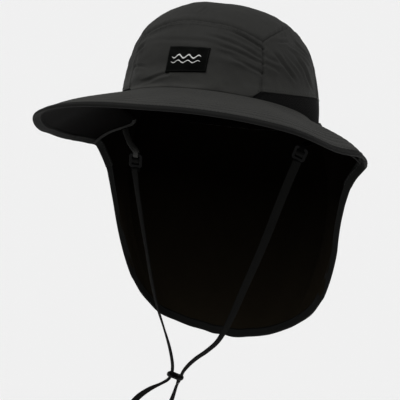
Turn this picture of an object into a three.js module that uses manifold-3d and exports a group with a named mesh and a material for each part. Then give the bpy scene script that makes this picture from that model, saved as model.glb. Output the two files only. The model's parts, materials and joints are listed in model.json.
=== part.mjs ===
// Sun hat with a neck flap: a panelled crown with mesh vents, a sloping brim that ends at the
// ears, a flap that hangs from the brim's rear edges round the back of the neck, and a flat chin
// cord with a slider. Millimetres, +Z up. The hat faces -Y, the wearer's left is +X, and the
// origin is the middle of the head opening. The hat is worn tilted back, its flap hanging.

import * as THREE from 'three';
import { mergeVertices } from 'three/addons/utils/BufferGeometryUtils.js';
import Module from 'manifold-3d';

const wasm = await Module();
wasm.setup();

// Head opening and crown
const HEAD_WIDTH = 180;
const HEAD_LENGTH = 208;
const OPENING_DIP = 1.4;
const CROWN_HEIGHT = 96.5;
const CROWN_SHOULDER = 2.66;
const CROWN_FULLNESS = 2.74;
const CROWN_SLACK = 3;
const WEAR_TILT = 20;
const CLOTH = 1.6;
const MESH_CLOTH = 1.1;
const SEAM_GAP = 0.34;

// Where the crown's seams run: angles from the front, heights as shares of the crown
const FRONT_SEAM_TURN = 45;
const BACK_SEAM_TURN = 95;
const TOP_SEAM_FRONT = 0.67;
const TOP_SEAM_CORNER = 0.55;
const TOP_SEAM_SIDE = 0.84;
const TOP_SEAM_ROUND = 0.85;

// Label
const LABEL_WIDTH = 40;
const LABEL_HEIGHT = 25;
const LABEL_THICK = 0.9;
const LABEL_RISE = 26;
const LABEL_SHIFT = 3;
const LABEL_SLANT = 3;

// Brim
const BRIM_REACH = 101.5;
const BRIM_CLOTH = 2.4;
const BRIM_END_TURN = 100.4;
const BRIM_SAG = 8;
const BRIM_SAG_START = 60;
const BRIM_SAG_AT = 0.16;
const BRIM_ARCH = 5;
const BRIM_ARCH_LEAN = 1.7;
const BINDING_WIDTH = 8;
const BINDING_THICK = 3;
const TAPE_WIDTH = 4.5;
const TAPE_THICK = 1.2;
const TAPE_START = 0.3;

// Neck flap
const FLAP_CLOTH = 1.4;
const FLAP_LAP = 5;
const FLAP_DROP = 180;
const FLAP_FRONT = 15.5;
const HEM_HALF_WIDTH = 100;
const HEM_DEPTH = 48.5;
const HEM_SWING = 18;
const HEM_BINDING_WIDTH = 9;
const HEM_BINDING_THICK = 2.6;
const FLAP_FOLD = 3.5;

// Chin cord, its tabs, buckles and slider
const CORD_WIDTH = 5.2;
const CORD_THICK = 1.8;
const TAB_WIDTH = 6;
const TAB_THICK = 1.5;
const BUCKLE_WIDTH = 12;
const BUCKLE_HEIGHT = 13;
const BUCKLE_THICK = 2.4;
const BUCKLE_BAR = 2.2;
const SLIDER_LENGTH = 17.6;
const SLIDER_HEIGHT = 4.2;
const SLIDER_DEPTH = 8.4;
const SLIDER_SPACING = 8.8;
const CORD_CLEARANCE = 0.6;

// Brim: angle as a share of its end, reach as a share of the front's, slope in degrees, and how
// much of the arch the cloth has between the head opening and the edge
const BRIM_SECTIONS = [
  { turn: 0.0, reach: 1.0, slope: 20.3, arch: 0.4 },
  { turn: 0.2, reach: 0.985, slope: 20.3, arch: 0.5 },
  { turn: 0.4, reach: 0.937, slope: 23.0, arch: 0.7 },
  { turn: 0.6, reach: 0.829, slope: 29.6, arch: 0.9 },
  { turn: 0.8, reach: 0.718, slope: 30.2, arch: 1.0 },
  { turn: 1.0, reach: 0.62, slope: 34.8, arch: 0.8 },
];

// Vent's upper edge: angle from the front, height as a share of the crown
const VENT_EDGE = [
  { turn: 40.5, rise: 0.012 },
  { turn: 42.5, rise: 0.04 },
  { turn: 45, rise: 0.075 },
  { turn: 65, rise: 0.125 },
  { turn: 95, rise: 0.21 },
];

// Flap, from the brim's rear corner (0) to the middle of the back (1): away and tuck are how far
// the cloth leans outward at the top and at the hem, as shares of its drop; across, behind and
// drop place the hem as shares of its half width, its depth and the flap's drop
const FLAP_SECTIONS = [
  { turn: 0.0, away: -0.62, across: 1.0, behind: 0.015, drop: 1.0, tuck: -0.4 },
  { turn: 0.16, away: -0.12, across: 0.88, behind: 0.1, drop: 1.115, tuck: -0.42 },
  { turn: 0.32, away: 0.35, across: 0.72, behind: 0.42, drop: 1.225, tuck: -0.42 },
  { turn: 0.5, away: 0.46, across: 0.53, behind: 0.75, drop: 1.292, tuck: -0.4 },
  { turn: 0.7, away: 0.5, across: 0.31, behind: 0.93, drop: 1.35, tuck: -0.36 },
  { turn: 0.85, away: 0.52, across: 0.15, behind: 0.985, drop: 1.377, tuck: -0.33 },
  { turn: 1.0, away: 0.53, across: 0.0, behind: 1.0, drop: 1.37, tuck: -0.32 },
];

// Soft folds of the crown: angle and half width in degrees, height and half height as shares of
// the crown, depth as a share of its slack, outward positive
const CROWN_FOLDS = [
  { turn: -49, wide: 7, rise: 0.29, tall: 0.17, depth: -0.9 },
  { turn: -30, wide: 18, rise: 0.12, tall: 0.05, depth: 0.35 },
  { turn: -24, wide: 20, rise: 0.05, tall: 0.04, depth: -0.3 },
  { turn: -22, wide: 24, rise: 0.57, tall: 0.05, depth: -0.35 },
  { turn: 36, wide: 10, rise: 0.5, tall: 0.06, depth: -0.45 },
  { turn: 34, wide: 12, rise: 0.38, tall: 0.05, depth: -0.4 },
  { turn: 52, wide: 7, rise: 0.34, tall: 0.2, depth: 0.35 },
  { turn: 70, wide: 9, rise: 0.66, tall: 0.08, depth: -0.7 },
  { turn: 80, wide: 10, rise: 0.45, tall: 0.09, depth: 0.4 },
  { turn: 150, wide: 16, rise: 0.4, tall: 0.12, depth: -0.5 },
  { turn: -140, wide: 16, rise: 0.5, tall: 0.12, depth: -0.5 },
];

// Soft folds of the flap, from the wearer's left corner (0) by the back (1) to the right one (2)
const FLAP_FOLDS = [
  { turn: 0.42, wide: 0.09, depth: 0.7 },
  { turn: 0.63, wide: 0.08, depth: -0.8 },
  { turn: 0.86, wide: 0.09, depth: 0.9 },
  { turn: 1.1, wide: 0.09, depth: -0.9 },
  { turn: 1.34, wide: 0.08, depth: 0.8 },
  { turn: 1.56, wide: 0.09, depth: -0.6 },
];

// Route of the chin cord, from the right buckle through the slider, round its loop, back through
// the slider and up to the left buckle
const CORD_ROUTE = [
  [-82.5, -11, -60.5], [-80.4, -12, -80], [-76.6, -13, -106.5], [-70.4, -14.5, -141],
  [-63.7, -16, -175.7], [-57.1, -17.5, -200.3], [-50.8, -18.5, -217.9], [-44.8, -19, -236.7],
  [-41.6, -20, -250.7], [-41.3, -20, -258.5], [-42.6, -20, -264.7], [-44.1, -20, -271],
  [-52, -20, -276.5], [-65.5, -20.5, -283.6], [-73.8, -21, -289.5], [-81.2, -21, -296.8],
  [-86.9, -21, -305.7], [-87.6, -21, -315.5], [-81, -21, -322.6], [-70.6, -21, -323.6],
  [-60.1, -21, -317.6], [-51.3, -21, -308.2], [-45.3, -21, -298.6], [-41.5, -21, -289.8],
  [-38.8, -20.5, -281.6], [-36.6, -20, -275], [-35.4, -20, -272], [-34, -20, -266.8],
  [-32.5, -20, -260.6], [-26, -19.5, -253.6], [-17, -19, -245.4], [-5.5, -18.5, -236],
  [5.9, -18, -224.3], [17, -17, -203.7], [30, -14, -171.7], [47.4, -10, -128.1],
  [62.5, -6, -85.6], [71, -3.3, -61.3], [76, -1.6, -43.6],
];
const CORD_STEPS = 64;
const SLIDER_PLACE = [-38.3, -20, -265.75];
const SLIDER_ROLL = 13.5;

// Webbing tabs: where each leaves the brim's rear edge, as a share of its reach, the way it hangs
// from there, and the lean of the buckle below it in degrees
const TABS = {
  right: { share: 0.244, bend: [-93.5, 2, -35.2], to: [-84.6, -8.5, -45.3], roll: 6 },
  left: { share: 0.234, bend: [90.5, 7, -26.4], to: [80, 1.2, -29.7], roll: 18 },
};

const CORD_COLOUR = 0x242424;
const SHELL_COLOUR = 0x3b3b39;
const EDGE_COLOUR = 0x2a2a2a;
const VENT_COLOUR = 0x161616;
const INNER_COLOUR = 0x1a1b1a;
const LABEL_COLOUR = 0x0b0c0b;
const PLASTIC_COLOUR = 0x141414;

const rad = THREE.MathUtils.degToRad;
const clamp = THREE.MathUtils.clamp;
const halfWidth = HEAD_WIDTH / 2;
const halfLength = HEAD_LENGTH / 2;
const meanRadius = (halfWidth + halfLength) / 2;
const vec = (values) => new THREE.Vector3(...values);

/** Value of one column at a place in the key column, smooth through the rows. */
function smooth(rows, key, column, at) {
  let i = rows.findIndex((row) => row[key] > at) - 1;
  if (i < 0) i = at <= rows[0][key] ? 0 : rows.length - 2;
  const slope = (j) => {
    const a = rows[Math.max(j - 1, 0)];
    const b = rows[Math.min(j + 1, rows.length - 1)];
    return (b[column] - a[column]) / (b[key] - a[key]);
  };
  const span = rows[i + 1][key] - rows[i][key];
  const t = clamp((at - rows[i][key]) / span, 0, 1);
  return hermite(rows[i][column], slope(i) * span, rows[i + 1][column], slope(i + 1) * span, t);
}

/** Value of one column at a place in the key column, straight between the rows. */
function straight(rows, key, column, at) {
  const i = clamp(rows.findIndex((row) => row[key] > at) - 1, 0, rows.length - 2);
  const last = at >= rows[rows.length - 1][key];
  const a = rows[last ? rows.length - 2 : i];
  const b = rows[last ? rows.length - 1 : i + 1];
  return THREE.MathUtils.mapLinear(clamp(at, a[key], b[key]), a[key], b[key], a[column], b[column]);
}

/** Cubic from a to b with end slopes p and q. */
function hermite(a, p, b, q, t) {
  const u = 1 - t;
  return a * (1 + 2 * t) * u * u + p * t * u * u + b * t * t * (3 - 2 * t) - q * t * t * u;
}

/** Soft bump of height 1 that fades to nothing at one half width from its middle. */
function bump(offset, wide) {
  const t = Math.abs(offset) / wide;
  return t < 1 ? (1 + Math.cos(Math.PI * t)) / 2 : 0;
}

/** A point of the upright hat, tilted back as it is worn. */
function worn(x, y, z) {
  return new THREE.Vector3(x, y, z).applyAxisAngle(new THREE.Vector3(1, 0, 0), -rad(WEAR_TILT));
}

/** Outward direction, in plan, of the head opening at an angle from the front. */
function outward(turn) {
  const n = new THREE.Vector3(Math.sin(rad(turn)) / halfWidth, -Math.cos(rad(turn)) / halfLength, 0);
  return n.normalize();
}

/** Height share of the seam between the top panel and the panels round it. */
function topSeamRise(turn) {
  const fromFront = Math.abs(THREE.MathUtils.euclideanModulo(turn + 180, 360) - 180);
  const around = Math.min(fromFront, 180 - fromFront);
  if (around <= FRONT_SEAM_TURN) {
    return TOP_SEAM_FRONT - (TOP_SEAM_FRONT - TOP_SEAM_CORNER) * (around / FRONT_SEAM_TURN) ** 2.2;
  }
  const along = Math.sin((Math.PI / 2) * (around - FRONT_SEAM_TURN) / (90 - FRONT_SEAM_TURN));
  return TOP_SEAM_CORNER + (TOP_SEAM_SIDE - TOP_SEAM_CORNER) * along ** TOP_SEAM_ROUND;
}

/** Outer face of the crown, at an angle from the front and a share of the height. */
function crownPoint(turn, rise) {
  const h = clamp(rise, 0, 1);
  const share = (1 - h ** CROWN_SHOULDER) ** (1 / CROWN_FULLNESS);
  const dip = OPENING_DIP * Math.sin(rad(turn)) ** 2;
  let fold = 0;
  for (const row of CROWN_FOLDS) {
    const offset = THREE.MathUtils.euclideanModulo(turn - row.turn + 180, 360) - 180;
    fold += row.depth * CROWN_SLACK * bump(offset, 2 * row.wide) * bump(rise - row.rise, 2 * row.tall);
  }
  const fade = clamp(h * CROWN_HEIGHT / CROWN_SLACK, 0, 1) * share;
  const out = outward(turn).multiplyScalar(fold * fade);
  const x = halfWidth * Math.sin(rad(turn)) * share + out.x;
  const y = -halfLength * Math.cos(rad(turn)) * share + out.y;
  return worn(x, y, CROWN_HEIGHT * h - dip * (1 - h));
}

/** Reach of the brim from the head opening to its edge. */
function brimReach(turn) {
  return BRIM_REACH * smooth(BRIM_SECTIONS, 'turn', 'reach', Math.abs(turn) / BRIM_END_TURN);
}

/** Upper face of the brim, at an angle from the front and a share of its reach. */
function brimPoint(turn, share) {
  const reach = brimReach(turn) * share;
  const around = Math.abs(turn) / BRIM_END_TURN;
  const slope = rad(smooth(BRIM_SECTIONS, 'turn', 'slope', around));
  const out = outward(turn).multiplyScalar(reach * Math.cos(slope));
  const ramp = clamp((Math.abs(turn) - BRIM_SAG_START) / (BRIM_END_TURN - BRIM_SAG_START), 0, 1) ** 2;
  const rising = Math.sin((Math.PI / 2) * clamp(share / BRIM_SAG_AT, 0, 1));
  const sag = BRIM_SAG * ramp * (share < BRIM_SAG_AT ? rising : (1 - share) / (1 - BRIM_SAG_AT));
  const bulge = Math.sin(Math.PI * clamp(share, 0, 1) ** BRIM_ARCH_LEAN);
  const arch = BRIM_ARCH * smooth(BRIM_SECTIONS, 'turn', 'arch', around) * bulge;
  const dip = OPENING_DIP * Math.sin(rad(turn)) ** 2;
  const x = halfWidth * Math.sin(rad(turn)) + out.x;
  const y = -halfLength * Math.cos(rad(turn)) + out.y;
  return worn(x, y, arch - dip - reach * Math.sin(slope) - sag);
}

/** Angle, at the head opening, of a length along it. */
const degreesOf = (length) => THREE.MathUtils.radToDeg(length / meanRadius);

const flapOffset = SEAM_GAP + Math.max(BINDING_THICK, HEM_BINDING_THICK) / 2;
const flapStartTurn = BRIM_END_TURN + degreesOf(flapOffset);
const rearEdge = brimReach(BRIM_END_TURN);
const rearShare = rearEdge / (rearEdge + rad(180 - flapStartTurn) * meanRadius);

/** How far the brim's rear edge has sagged where the flap leaves it for the crown. */
const cornerDrop = (flapOffset + CLOTH) * (Math.sin(rad(30)) + BRIM_SAG / rearEdge / BRIM_SAG_AT);

/** Top of the flap: along the brim's rear edge to the crown, then round the crown's back. */
function flapTop(along, side) {
  if (along <= rearShare) {
    const inner = (flapOffset + CLOTH) / rearEdge;
    const share = THREE.MathUtils.lerp(1, inner, along / rearShare);
    return brimPoint(side * flapStartTurn, share);
  }
  const t = (along - rearShare) / (1 - rearShare);
  const turn = side * THREE.MathUtils.lerp(flapStartTurn, 180, t);
  const corner = (1 - t) ** 8;
  const seam = SEAM_GAP + FLAP_CLOTH / 2;
  const out = outward(turn).multiplyScalar(THREE.MathUtils.lerp(seam, flapOffset + CLOTH, corner));
  const dip = OPENING_DIP * Math.sin(rad(turn)) ** 2;
  const x = halfWidth * Math.sin(rad(turn)) + out.x;
  const y = -halfLength * Math.cos(rad(turn)) + out.y;
  return worn(x, y, -dip + THREE.MathUtils.lerp(FLAP_LAP, -cornerDrop, corner));
}

/** Middle face of the flap: 0 to 2 round it from the wearer's left, 0 to 1 down it. */
function flapPoint(around, down) {
  const side = around <= 1 ? 1 : -1;
  const along = around <= 1 ? around : 2 - around;
  const row = (column) => smooth(FLAP_SECTIONS, 'turn', column, along);
  const top = flapTop(along, side);
  const hem = new THREE.Vector3(
    side * row('across') * HEM_HALF_WIDTH - row('behind') * HEM_SWING,
    FLAP_FRONT + row('behind') * HEM_DEPTH,
    -row('drop') * FLAP_DROP,
  );
  const drop = top.z - hem.z;
  const turn = Math.max(along - rearShare, 0) / (1 - rearShare);
  const out = outward(side * THREE.MathUtils.lerp(90, 180, turn));
  const fold = FLAP_FOLDS.reduce((sum, f) => sum + f.depth * bump(around - f.turn, 2 * f.wide), 0);
  const push = out.clone().multiplyScalar(fold * FLAP_FOLD * down * (1.6 - down));
  const axis = (k) => {
    const leave = out[k] * row('away') * drop - (k === 'z' ? drop : 0);
    const arrive = out[k] * row('tuck') * drop - (k === 'z' ? drop : 0);
    return hermite(top[k], leave, hem[k], arrive, down) + push[k];
  };
  return new THREE.Vector3(axis('x'), axis('y'), axis('z'));
}

/** Values evenly spaced from a to b, both included. */
function steps(a, b, count) {
  return Array.from({ length: count + 1 }, (_, i) => THREE.MathUtils.lerp(a, b, i / count));
}

/** Normal of a surface by small steps along its two directions. */
function surfaceNormal(point, u, v, du, dv) {
  const across = point(u + du, v).sub(point(u - du, v));
  const along = point(u, v + dv).sub(point(u, v - dv));
  return across.cross(along).normalize();
}

/** A geometry from points and triangles, turned so that its faces point out. */
function closedGeometry(points, triangles) {
  let volume = 0;
  for (const [a, b, c] of triangles) {
    volume += points[a].dot(points[b].clone().cross(points[c]));
  }
  const faces = volume > 0 ? triangles : triangles.map(([a, b, c]) => [a, c, b]);
  const geometry = new THREE.BufferGeometry();
  geometry.setAttribute('position', new THREE.Float32BufferAttribute(points.flatMap((p) => p.toArray()), 3));
  geometry.setIndex(faces.flat());
  geometry.computeVertexNormals();
  return geometry;
}

/**
 * Cloth as a closed wall: a grid of points on one face, and a second face a thickness away along
 * the given normals. rows[i][j] holds { at, normal }.
 */
function wallGeometry(rows, near, far) {
  const across = rows.length;
  const along = rows[0].length;
  const points = [];
  for (const offset of [near, far]) {
    for (const row of rows) {
      for (const cell of row) points.push(cell.at.clone().addScaledVector(cell.normal, offset));
    }
  }
  const index = (face, i, j) => face * across * along + i * along + j;
  const triangles = [];
  const quad = (a, b, c, d) => triangles.push([a, b, c], [a, c, d]);
  for (let i = 0; i < across - 1; i += 1) {
    for (let j = 0; j < along - 1; j += 1) {
      quad(index(0, i, j), index(0, i + 1, j), index(0, i + 1, j + 1), index(0, i, j + 1));
      quad(index(1, i, j), index(1, i, j + 1), index(1, i + 1, j + 1), index(1, i + 1, j));
    }
    quad(index(0, i, 0), index(1, i, 0), index(1, i + 1, 0), index(0, i + 1, 0));
    const j = along - 1;
    quad(index(0, i, j), index(0, i + 1, j), index(1, i + 1, j), index(1, i, j));
  }
  for (let j = 0; j < along - 1; j += 1) {
    quad(index(0, 0, j), index(0, 0, j + 1), index(1, 0, j + 1), index(1, 0, j));
    const i = across - 1;
    quad(index(0, i, j), index(1, i, j), index(1, i, j + 1), index(0, i, j + 1));
  }
  return closedGeometry(points, triangles);
}

/** Outward normal of the crown. */
function crownNormal(turn, rise) {
  const normal = surfaceNormal(crownPoint, turn, clamp(rise, 0.01, 0.99), 0.5, 0.005);
  const centre = worn(0, 0, 0);
  return normal.dot(crownPoint(turn, rise).sub(centre)) > 0 ? normal : normal.negate();
}

/** A crown panel between two angles, from its lower edge to its upper edge. */
function crownPanel(turns, lower, upper, count, thick) {
  const trim = SEAM_GAP / 2 / CROWN_HEIGHT;
  const rows = turns.map((turn) => {
    const low = lower(turn) > 0 ? lower(turn) + trim : 0;
    return steps(low, upper(turn) - trim, count).map((rise) => {
      return { at: crownPoint(turn, rise), normal: crownNormal(turn, rise) };
    });
  });
  return wallGeometry(rows, 0, -thick);
}

/** The top panel: rings from its seam in to the crown's top, closed by one point. */
function topPanel(turns, rings) {
  const trim = SEAM_GAP / 2 / CROWN_HEIGHT;
  const inner = [];
  const outer = [];
  for (const turn of turns) {
    const start = topSeamRise(turn) + trim;
    for (let ring = 0; ring < rings; ring += 1) {
      const rise = 1 - (1 - start) * (1 - ring / rings) ** 2;
      const at = crownPoint(turn, rise);
      outer.push(at);
      inner.push(at.clone().addScaledVector(crownNormal(turn, rise), -CLOTH));
    }
  }
  const points = [...outer, ...inner, worn(0, 0, CROWN_HEIGHT), worn(0, 0, CROWN_HEIGHT - CLOTH)];
  const face = turns.length * rings;
  const index = (side, i, ring) => side * face + (i % turns.length) * rings + ring;
  const triangles = [];
  const quad = (a, b, c, d) => triangles.push([a, b, c], [a, c, d]);
  for (let i = 0; i < turns.length; i += 1) {
    for (let ring = 0; ring < rings - 1; ring += 1) {
      quad(index(0, i, ring), index(0, i + 1, ring), index(0, i + 1, ring + 1), index(0, i, ring + 1));
      quad(index(1, i, ring), index(1, i, ring + 1), index(1, i + 1, ring + 1), index(1, i + 1, ring));
    }
    triangles.push([index(0, i, rings - 1), index(0, i + 1, rings - 1), 2 * face]);
    triangles.push([index(1, i + 1, rings - 1), index(1, i, rings - 1), 2 * face + 1]);
    quad(index(0, i, 0), index(1, i, 0), index(1, i + 1, 0), index(0, i + 1, 0));
  }
  return closedGeometry(points, triangles);
}

/** Upward normal of the brim. */
function brimNormal(turn, share) {
  const inside = clamp(share, 0.03, 0.97);
  const normal = surfaceNormal(brimPoint, clamp(turn, -BRIM_END_TURN + 1, BRIM_END_TURN - 1), inside, 0.5, 0.02);
  return normal.z > 0 ? normal : normal.negate();
}

/** A strip of the brim: shares of its reach for each angle, between two depths below its top. */
function brimStrip(turns, shares, near, far) {
  const rows = turns.map((turn) => shares(turn).map((share) => {
    return { at: brimPoint(turn, share), normal: brimNormal(turn, share) };
  }));
  return wallGeometry(rows, -near, -far);
}

/** Outward normal of the flap. */
function flapNormal(around, down) {
  const u = clamp(around, 0.02, 1.98);
  const v = clamp(down, 0.02, 0.98);
  const normal = surfaceNormal(flapPoint, u, v, 0.01, 0.02);
  const centre = new THREE.Vector3(0, -HEAD_LENGTH, -FLAP_DROP);
  return normal.dot(flapPoint(u, v).sub(centre)) > 0 ? normal : normal.negate();
}

/** Shares of the flap that its binding covers, at its front edges and at its hem. */
const bindAcross = HEM_BINDING_WIDTH / (rearEdge / rearShare);
const bindDown = HEM_BINDING_WIDTH / (FLAP_DROP * 1.08);

/** The cloth of the flap, inside its binding. */
function flapCloth(columns, rows) {
  const gap = SEAM_GAP / (rearEdge / rearShare);
  const half = columns / 2;
  const turns = [...steps(bindAcross + gap, 1, half), ...steps(1, 2 - bindAcross - gap, half).slice(1)];
  const grid = turns.map((around) => steps(0, 1 - bindDown - gap, rows).map((down) => {
    return { at: flapPoint(around, down), normal: flapNormal(around, down) };
  }));
  return wallGeometry(grid, FLAP_CLOTH / 2, -FLAP_CLOTH / 2);
}

/** The binding of the flap: down one front edge, round the hem and up the other front edge. */
function flapBinding(sides, hems) {
  const start = 0.012;
  const down = steps(start, 1, sides).slice(0, -1).map((v) => [[0, v], [bindAcross, v * (1 - bindDown)]]);
  const hem = steps(0, 1, hems).map((t) => {
    return [[2 * t, 1], [THREE.MathUtils.lerp(bindAcross, 2 - bindAcross, t), 1 - bindDown]];
  });
  const up = down.map(([a, b]) => [[2 - a[0], a[1]], [2 - b[0], b[1]]]).reverse();
  const rows = [...down, ...hem, ...up].map((pair) => pair.map(([u, v]) => {
    return { at: flapPoint(u, v), normal: flapNormal(u, v) };
  }));
  return wallGeometry(rows, HEM_BINDING_THICK / 2, -HEM_BINDING_THICK / 2);
}

/** The label, a small plate that follows the front panel. */
function labelGeometry() {
  const slant = rad(LABEL_SLANT);
  const rows = steps(-0.5, 0.5, 8).map((u) => steps(-0.5, 0.5, 4).map((v) => {
    const across = LABEL_SHIFT + u * LABEL_WIDTH * Math.cos(slant) - v * LABEL_HEIGHT * Math.sin(slant);
    const up = LABEL_RISE + u * LABEL_WIDTH * Math.sin(slant) + v * LABEL_HEIGHT * Math.cos(slant);
    const rise = up / CROWN_HEIGHT;
    const share = (1 - rise ** CROWN_SHOULDER) ** (1 / CROWN_FULLNESS);
    const turn = THREE.MathUtils.radToDeg(Math.asin(clamp(across / halfWidth / share, -1, 1)));
    return { at: crownPoint(turn, rise), normal: crownNormal(turn, rise) };
  }));
  return wallGeometry(rows, SEAM_GAP, SEAM_GAP + LABEL_THICK);
}

/** Closed outline of a flat section with rounded ends, as points of a shape. */
function roundedBar(width, height, radius) {
  const shape = new THREE.Shape();
  const x = width / 2;
  const y = height / 2;
  shape.moveTo(-x + radius, -y);
  shape.lineTo(x - radius, -y);
  shape.absarc(x - radius, -y + radius, radius, -Math.PI / 2, 0);
  shape.lineTo(x, y - radius);
  shape.absarc(x - radius, y - radius, radius, 0, Math.PI / 2);
  shape.lineTo(-x + radius, y);
  shape.absarc(-x + radius, y - radius, radius, Math.PI / 2, Math.PI);
  shape.lineTo(-x, -y + radius);
  shape.absarc(-x + radius, -y + radius, radius, Math.PI, Math.PI * 1.5);
  return shape;
}

/** A geometry as a solid that can be cut. */
function solid(geometry) {
  const bare = geometry.clone();
  bare.deleteAttribute('normal');
  bare.deleteAttribute('uv');
  const merged = mergeVertices(bare);
  const vertProperties = new Float32Array(merged.attributes.position.array);
  const triVerts = new Uint32Array(merged.index.array);
  return new wasm.Manifold(new wasm.Mesh({ numProp: 3, vertProperties, triVerts }));
}

/** A plate with square windows cut through its thickness: [x, y, width, height] each. */
function piercedPlate(shape, thick, windows) {
  const plate = new THREE.ExtrudeGeometry(shape, { depth: thick, bevelEnabled: false, curveSegments: 3 });
  let body = solid(plate.translate(0, 0, -thick / 2));
  for (const [x, y, width, height] of windows) {
    body = body.subtract(solid(new THREE.BoxGeometry(width, height, 2 * thick).translate(x, y, 0)));
  }
  const mesh = body.getMesh();
  const geometry = new THREE.BufferGeometry();
  geometry.setAttribute('position', new THREE.BufferAttribute(mesh.vertProperties, 3));
  geometry.setIndex(new THREE.BufferAttribute(mesh.triVerts, 1));
  geometry.computeVertexNormals();
  return geometry;
}

/** Ladder buckle: a rounded frame with a window above and a window below its middle bar. */
function buckleGeometry() {
  const wide = BUCKLE_WIDTH - 2 * BUCKLE_BAR;
  const tall = (BUCKLE_HEIGHT - 3 * BUCKLE_BAR) / 2;
  const rise = (tall + BUCKLE_BAR) / 2;
  const windows = [[0, rise, wide, tall], [0, -rise, wide, tall]];
  const frame = roundedBar(BUCKLE_WIDTH, BUCKLE_HEIGHT, BUCKLE_BAR);
  return piercedPlate(frame, BUCKLE_THICK, windows).rotateX(Math.PI / 2);
}

/** Slider: a short bar with a slot for each run of the cord. */
function sliderGeometry() {
  const wide = CORD_THICK + 2 * CORD_CLEARANCE;
  const deep = CORD_WIDTH + 2 * CORD_CLEARANCE;
  const slots = [-0.5, 0.5].map((side) => [side * SLIDER_SPACING, 0, wide, deep]);
  return piercedPlate(roundedBar(SLIDER_LENGTH, SLIDER_DEPTH, SLIDER_DEPTH / 4), SLIDER_HEIGHT, slots);
}

/** Section of a flat strip with chamfered corners. */
function stripSection(width, thick) {
  const x = thick / 2;
  const y = width / 2;
  const c = Math.min(x, y) / 2;
  return new THREE.Shape([
    new THREE.Vector2(-x + c, -y), new THREE.Vector2(x - c, -y), new THREE.Vector2(x, -y + c),
    new THREE.Vector2(x, y - c), new THREE.Vector2(x - c, y), new THREE.Vector2(-x + c, y),
    new THREE.Vector2(-x, y - c), new THREE.Vector2(-x, -y + c),
  ]);
}

/** A tube of one section along a smooth curve through points. */
function tubeGeometry(section, route, count) {
  const curve = new THREE.CatmullRomCurve3(route.map(vec), false, 'centripetal');
  return new THREE.ExtrudeGeometry(section, { steps: count, extrudePath: curve, bevelEnabled: false });
}

/** A named piece in one colour. */
function piece(name, geometry, colour, roughness = 0.9) {
  const material = new THREE.MeshStandardMaterial({ color: colour, roughness, metalness: 0 });
  const mesh = new THREE.Mesh(geometry, material);
  mesh.name = name;
  return mesh;
}

/** Angles of a panel's columns with its two ends drawn in by half a seam. */
function trimmed(turns) {
  const seam = degreesOf(SEAM_GAP / 2);
  return [turns[0] + seam, ...turns.slice(1, -1), turns[turns.length - 1] - seam];
}

/** The panels of the crown, with a mesh vent low on each side. */
function crownPieces() {
  const group = new THREE.Group();
  const tip = VENT_EDGE[0].turn;
  const middle = (tip + FRONT_SEAM_TURN) / 2;
  const vent = (turn) => (Math.abs(turn) < tip ? 0 : straight(VENT_EDGE, 'turn', 'rise', Math.abs(turn)));
  const front = [-FRONT_SEAM_TURN, -middle, ...steps(-tip, tip, 16), middle, FRONT_SEAM_TURN];
  const side = steps(FRONT_SEAM_TURN, BACK_SEAM_TURN, 10);
  const back = steps(BACK_SEAM_TURN, 360 - BACK_SEAM_TURN, 26);
  const frontPanel = crownPanel(trimmed(front), vent, topSeamRise, 9, CLOTH);
  group.add(piece('crown_front_panel', frontPanel, SHELL_COLOUR));
  for (const [name, sign] of [['left', 1], ['right', -1]]) {
    const panel = crownPanel(trimmed(side).map((t) => sign * t), vent, topSeamRise, 9, CLOTH);
    group.add(piece(`crown_side_panel_${name}`, panel, SHELL_COLOUR));
    const netTurns = trimmed([tip - 1, tip, middle, ...side]).slice(1).map((t) => sign * t);
    const net = crownPanel(netTurns, () => 0, vent, 2, MESH_CLOTH);
    group.add(piece(`mesh_vent_${name}`, net, VENT_COLOUR));
  }
  const backPanel = crownPanel(trimmed(back), () => 0, topSeamRise, 8, CLOTH);
  group.add(piece('crown_back_panel', backPanel, SHELL_COLOUR));
  const lefts = side.slice(1, -1);
  const rights = lefts.map((t) => 360 - t).reverse();
  group.add(piece('crown_top_panel', topPanel([...front, ...lefts, ...back, ...rights], 6), SHELL_COLOUR));
  group.add(piece('front_label', labelGeometry(), LABEL_COLOUR, 0.7));
  return group;
}

/** The brim with its edge binding and the tapes over its seams underneath. */
function brimPieces() {
  const group = new THREE.Group();
  const turns = steps(-BRIM_END_TURN, BRIM_END_TURN, 52);
  const bound = (turn) => 1 - BINDING_WIDTH / brimReach(turn);
  const start = (turn) => SEAM_GAP / brimReach(turn);
  const under = BRIM_CLOTH + SEAM_GAP;
  const knee = (turn) => Math.min(BRIM_SAG_AT, 10 / brimReach(turn));
  const cloth = (turn) => {
    const last = bound(turn) - start(turn);
    return [start(turn), knee(turn) / 2, knee(turn), ...steps(knee(turn), last, 4).slice(1)];
  };
  group.add(piece('brim', brimStrip(turns, cloth, 0, BRIM_CLOTH), SHELL_COLOUR));
  const proud = (BINDING_THICK - BRIM_CLOTH) / 2;
  const binding = brimStrip(turns, (turn) => [bound(turn), 1], -proud, BRIM_CLOTH + proud);
  group.add(piece('brim_binding', binding, EDGE_COLOUR));
  for (const [side, sign] of [['left', 1], ['right', -1]]) {
    const edge = [0.4, TAPE_WIDTH].map((w) => sign * (BRIM_END_TURN - degreesOf(w)));
    const reach = (turn) => {
      const last = bound(turn) - 2 * start(turn);
      return steps(TAPE_START, last, 6);
    };
    const tape = brimStrip(edge, reach, under, under + TAPE_THICK);
    group.add(piece(`rear_seam_tape_${side}`, tape, INNER_COLOUR));
  }
  return group;
}

/** The neck flap and its binding. */
function flapPieces() {
  const group = new THREE.Group();
  group.add(piece('neck_flap', flapCloth(44, 11), INNER_COLOUR));
  group.add(piece('flap_binding', flapBinding(12, 44), EDGE_COLOUR));
  return group;
}

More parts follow.
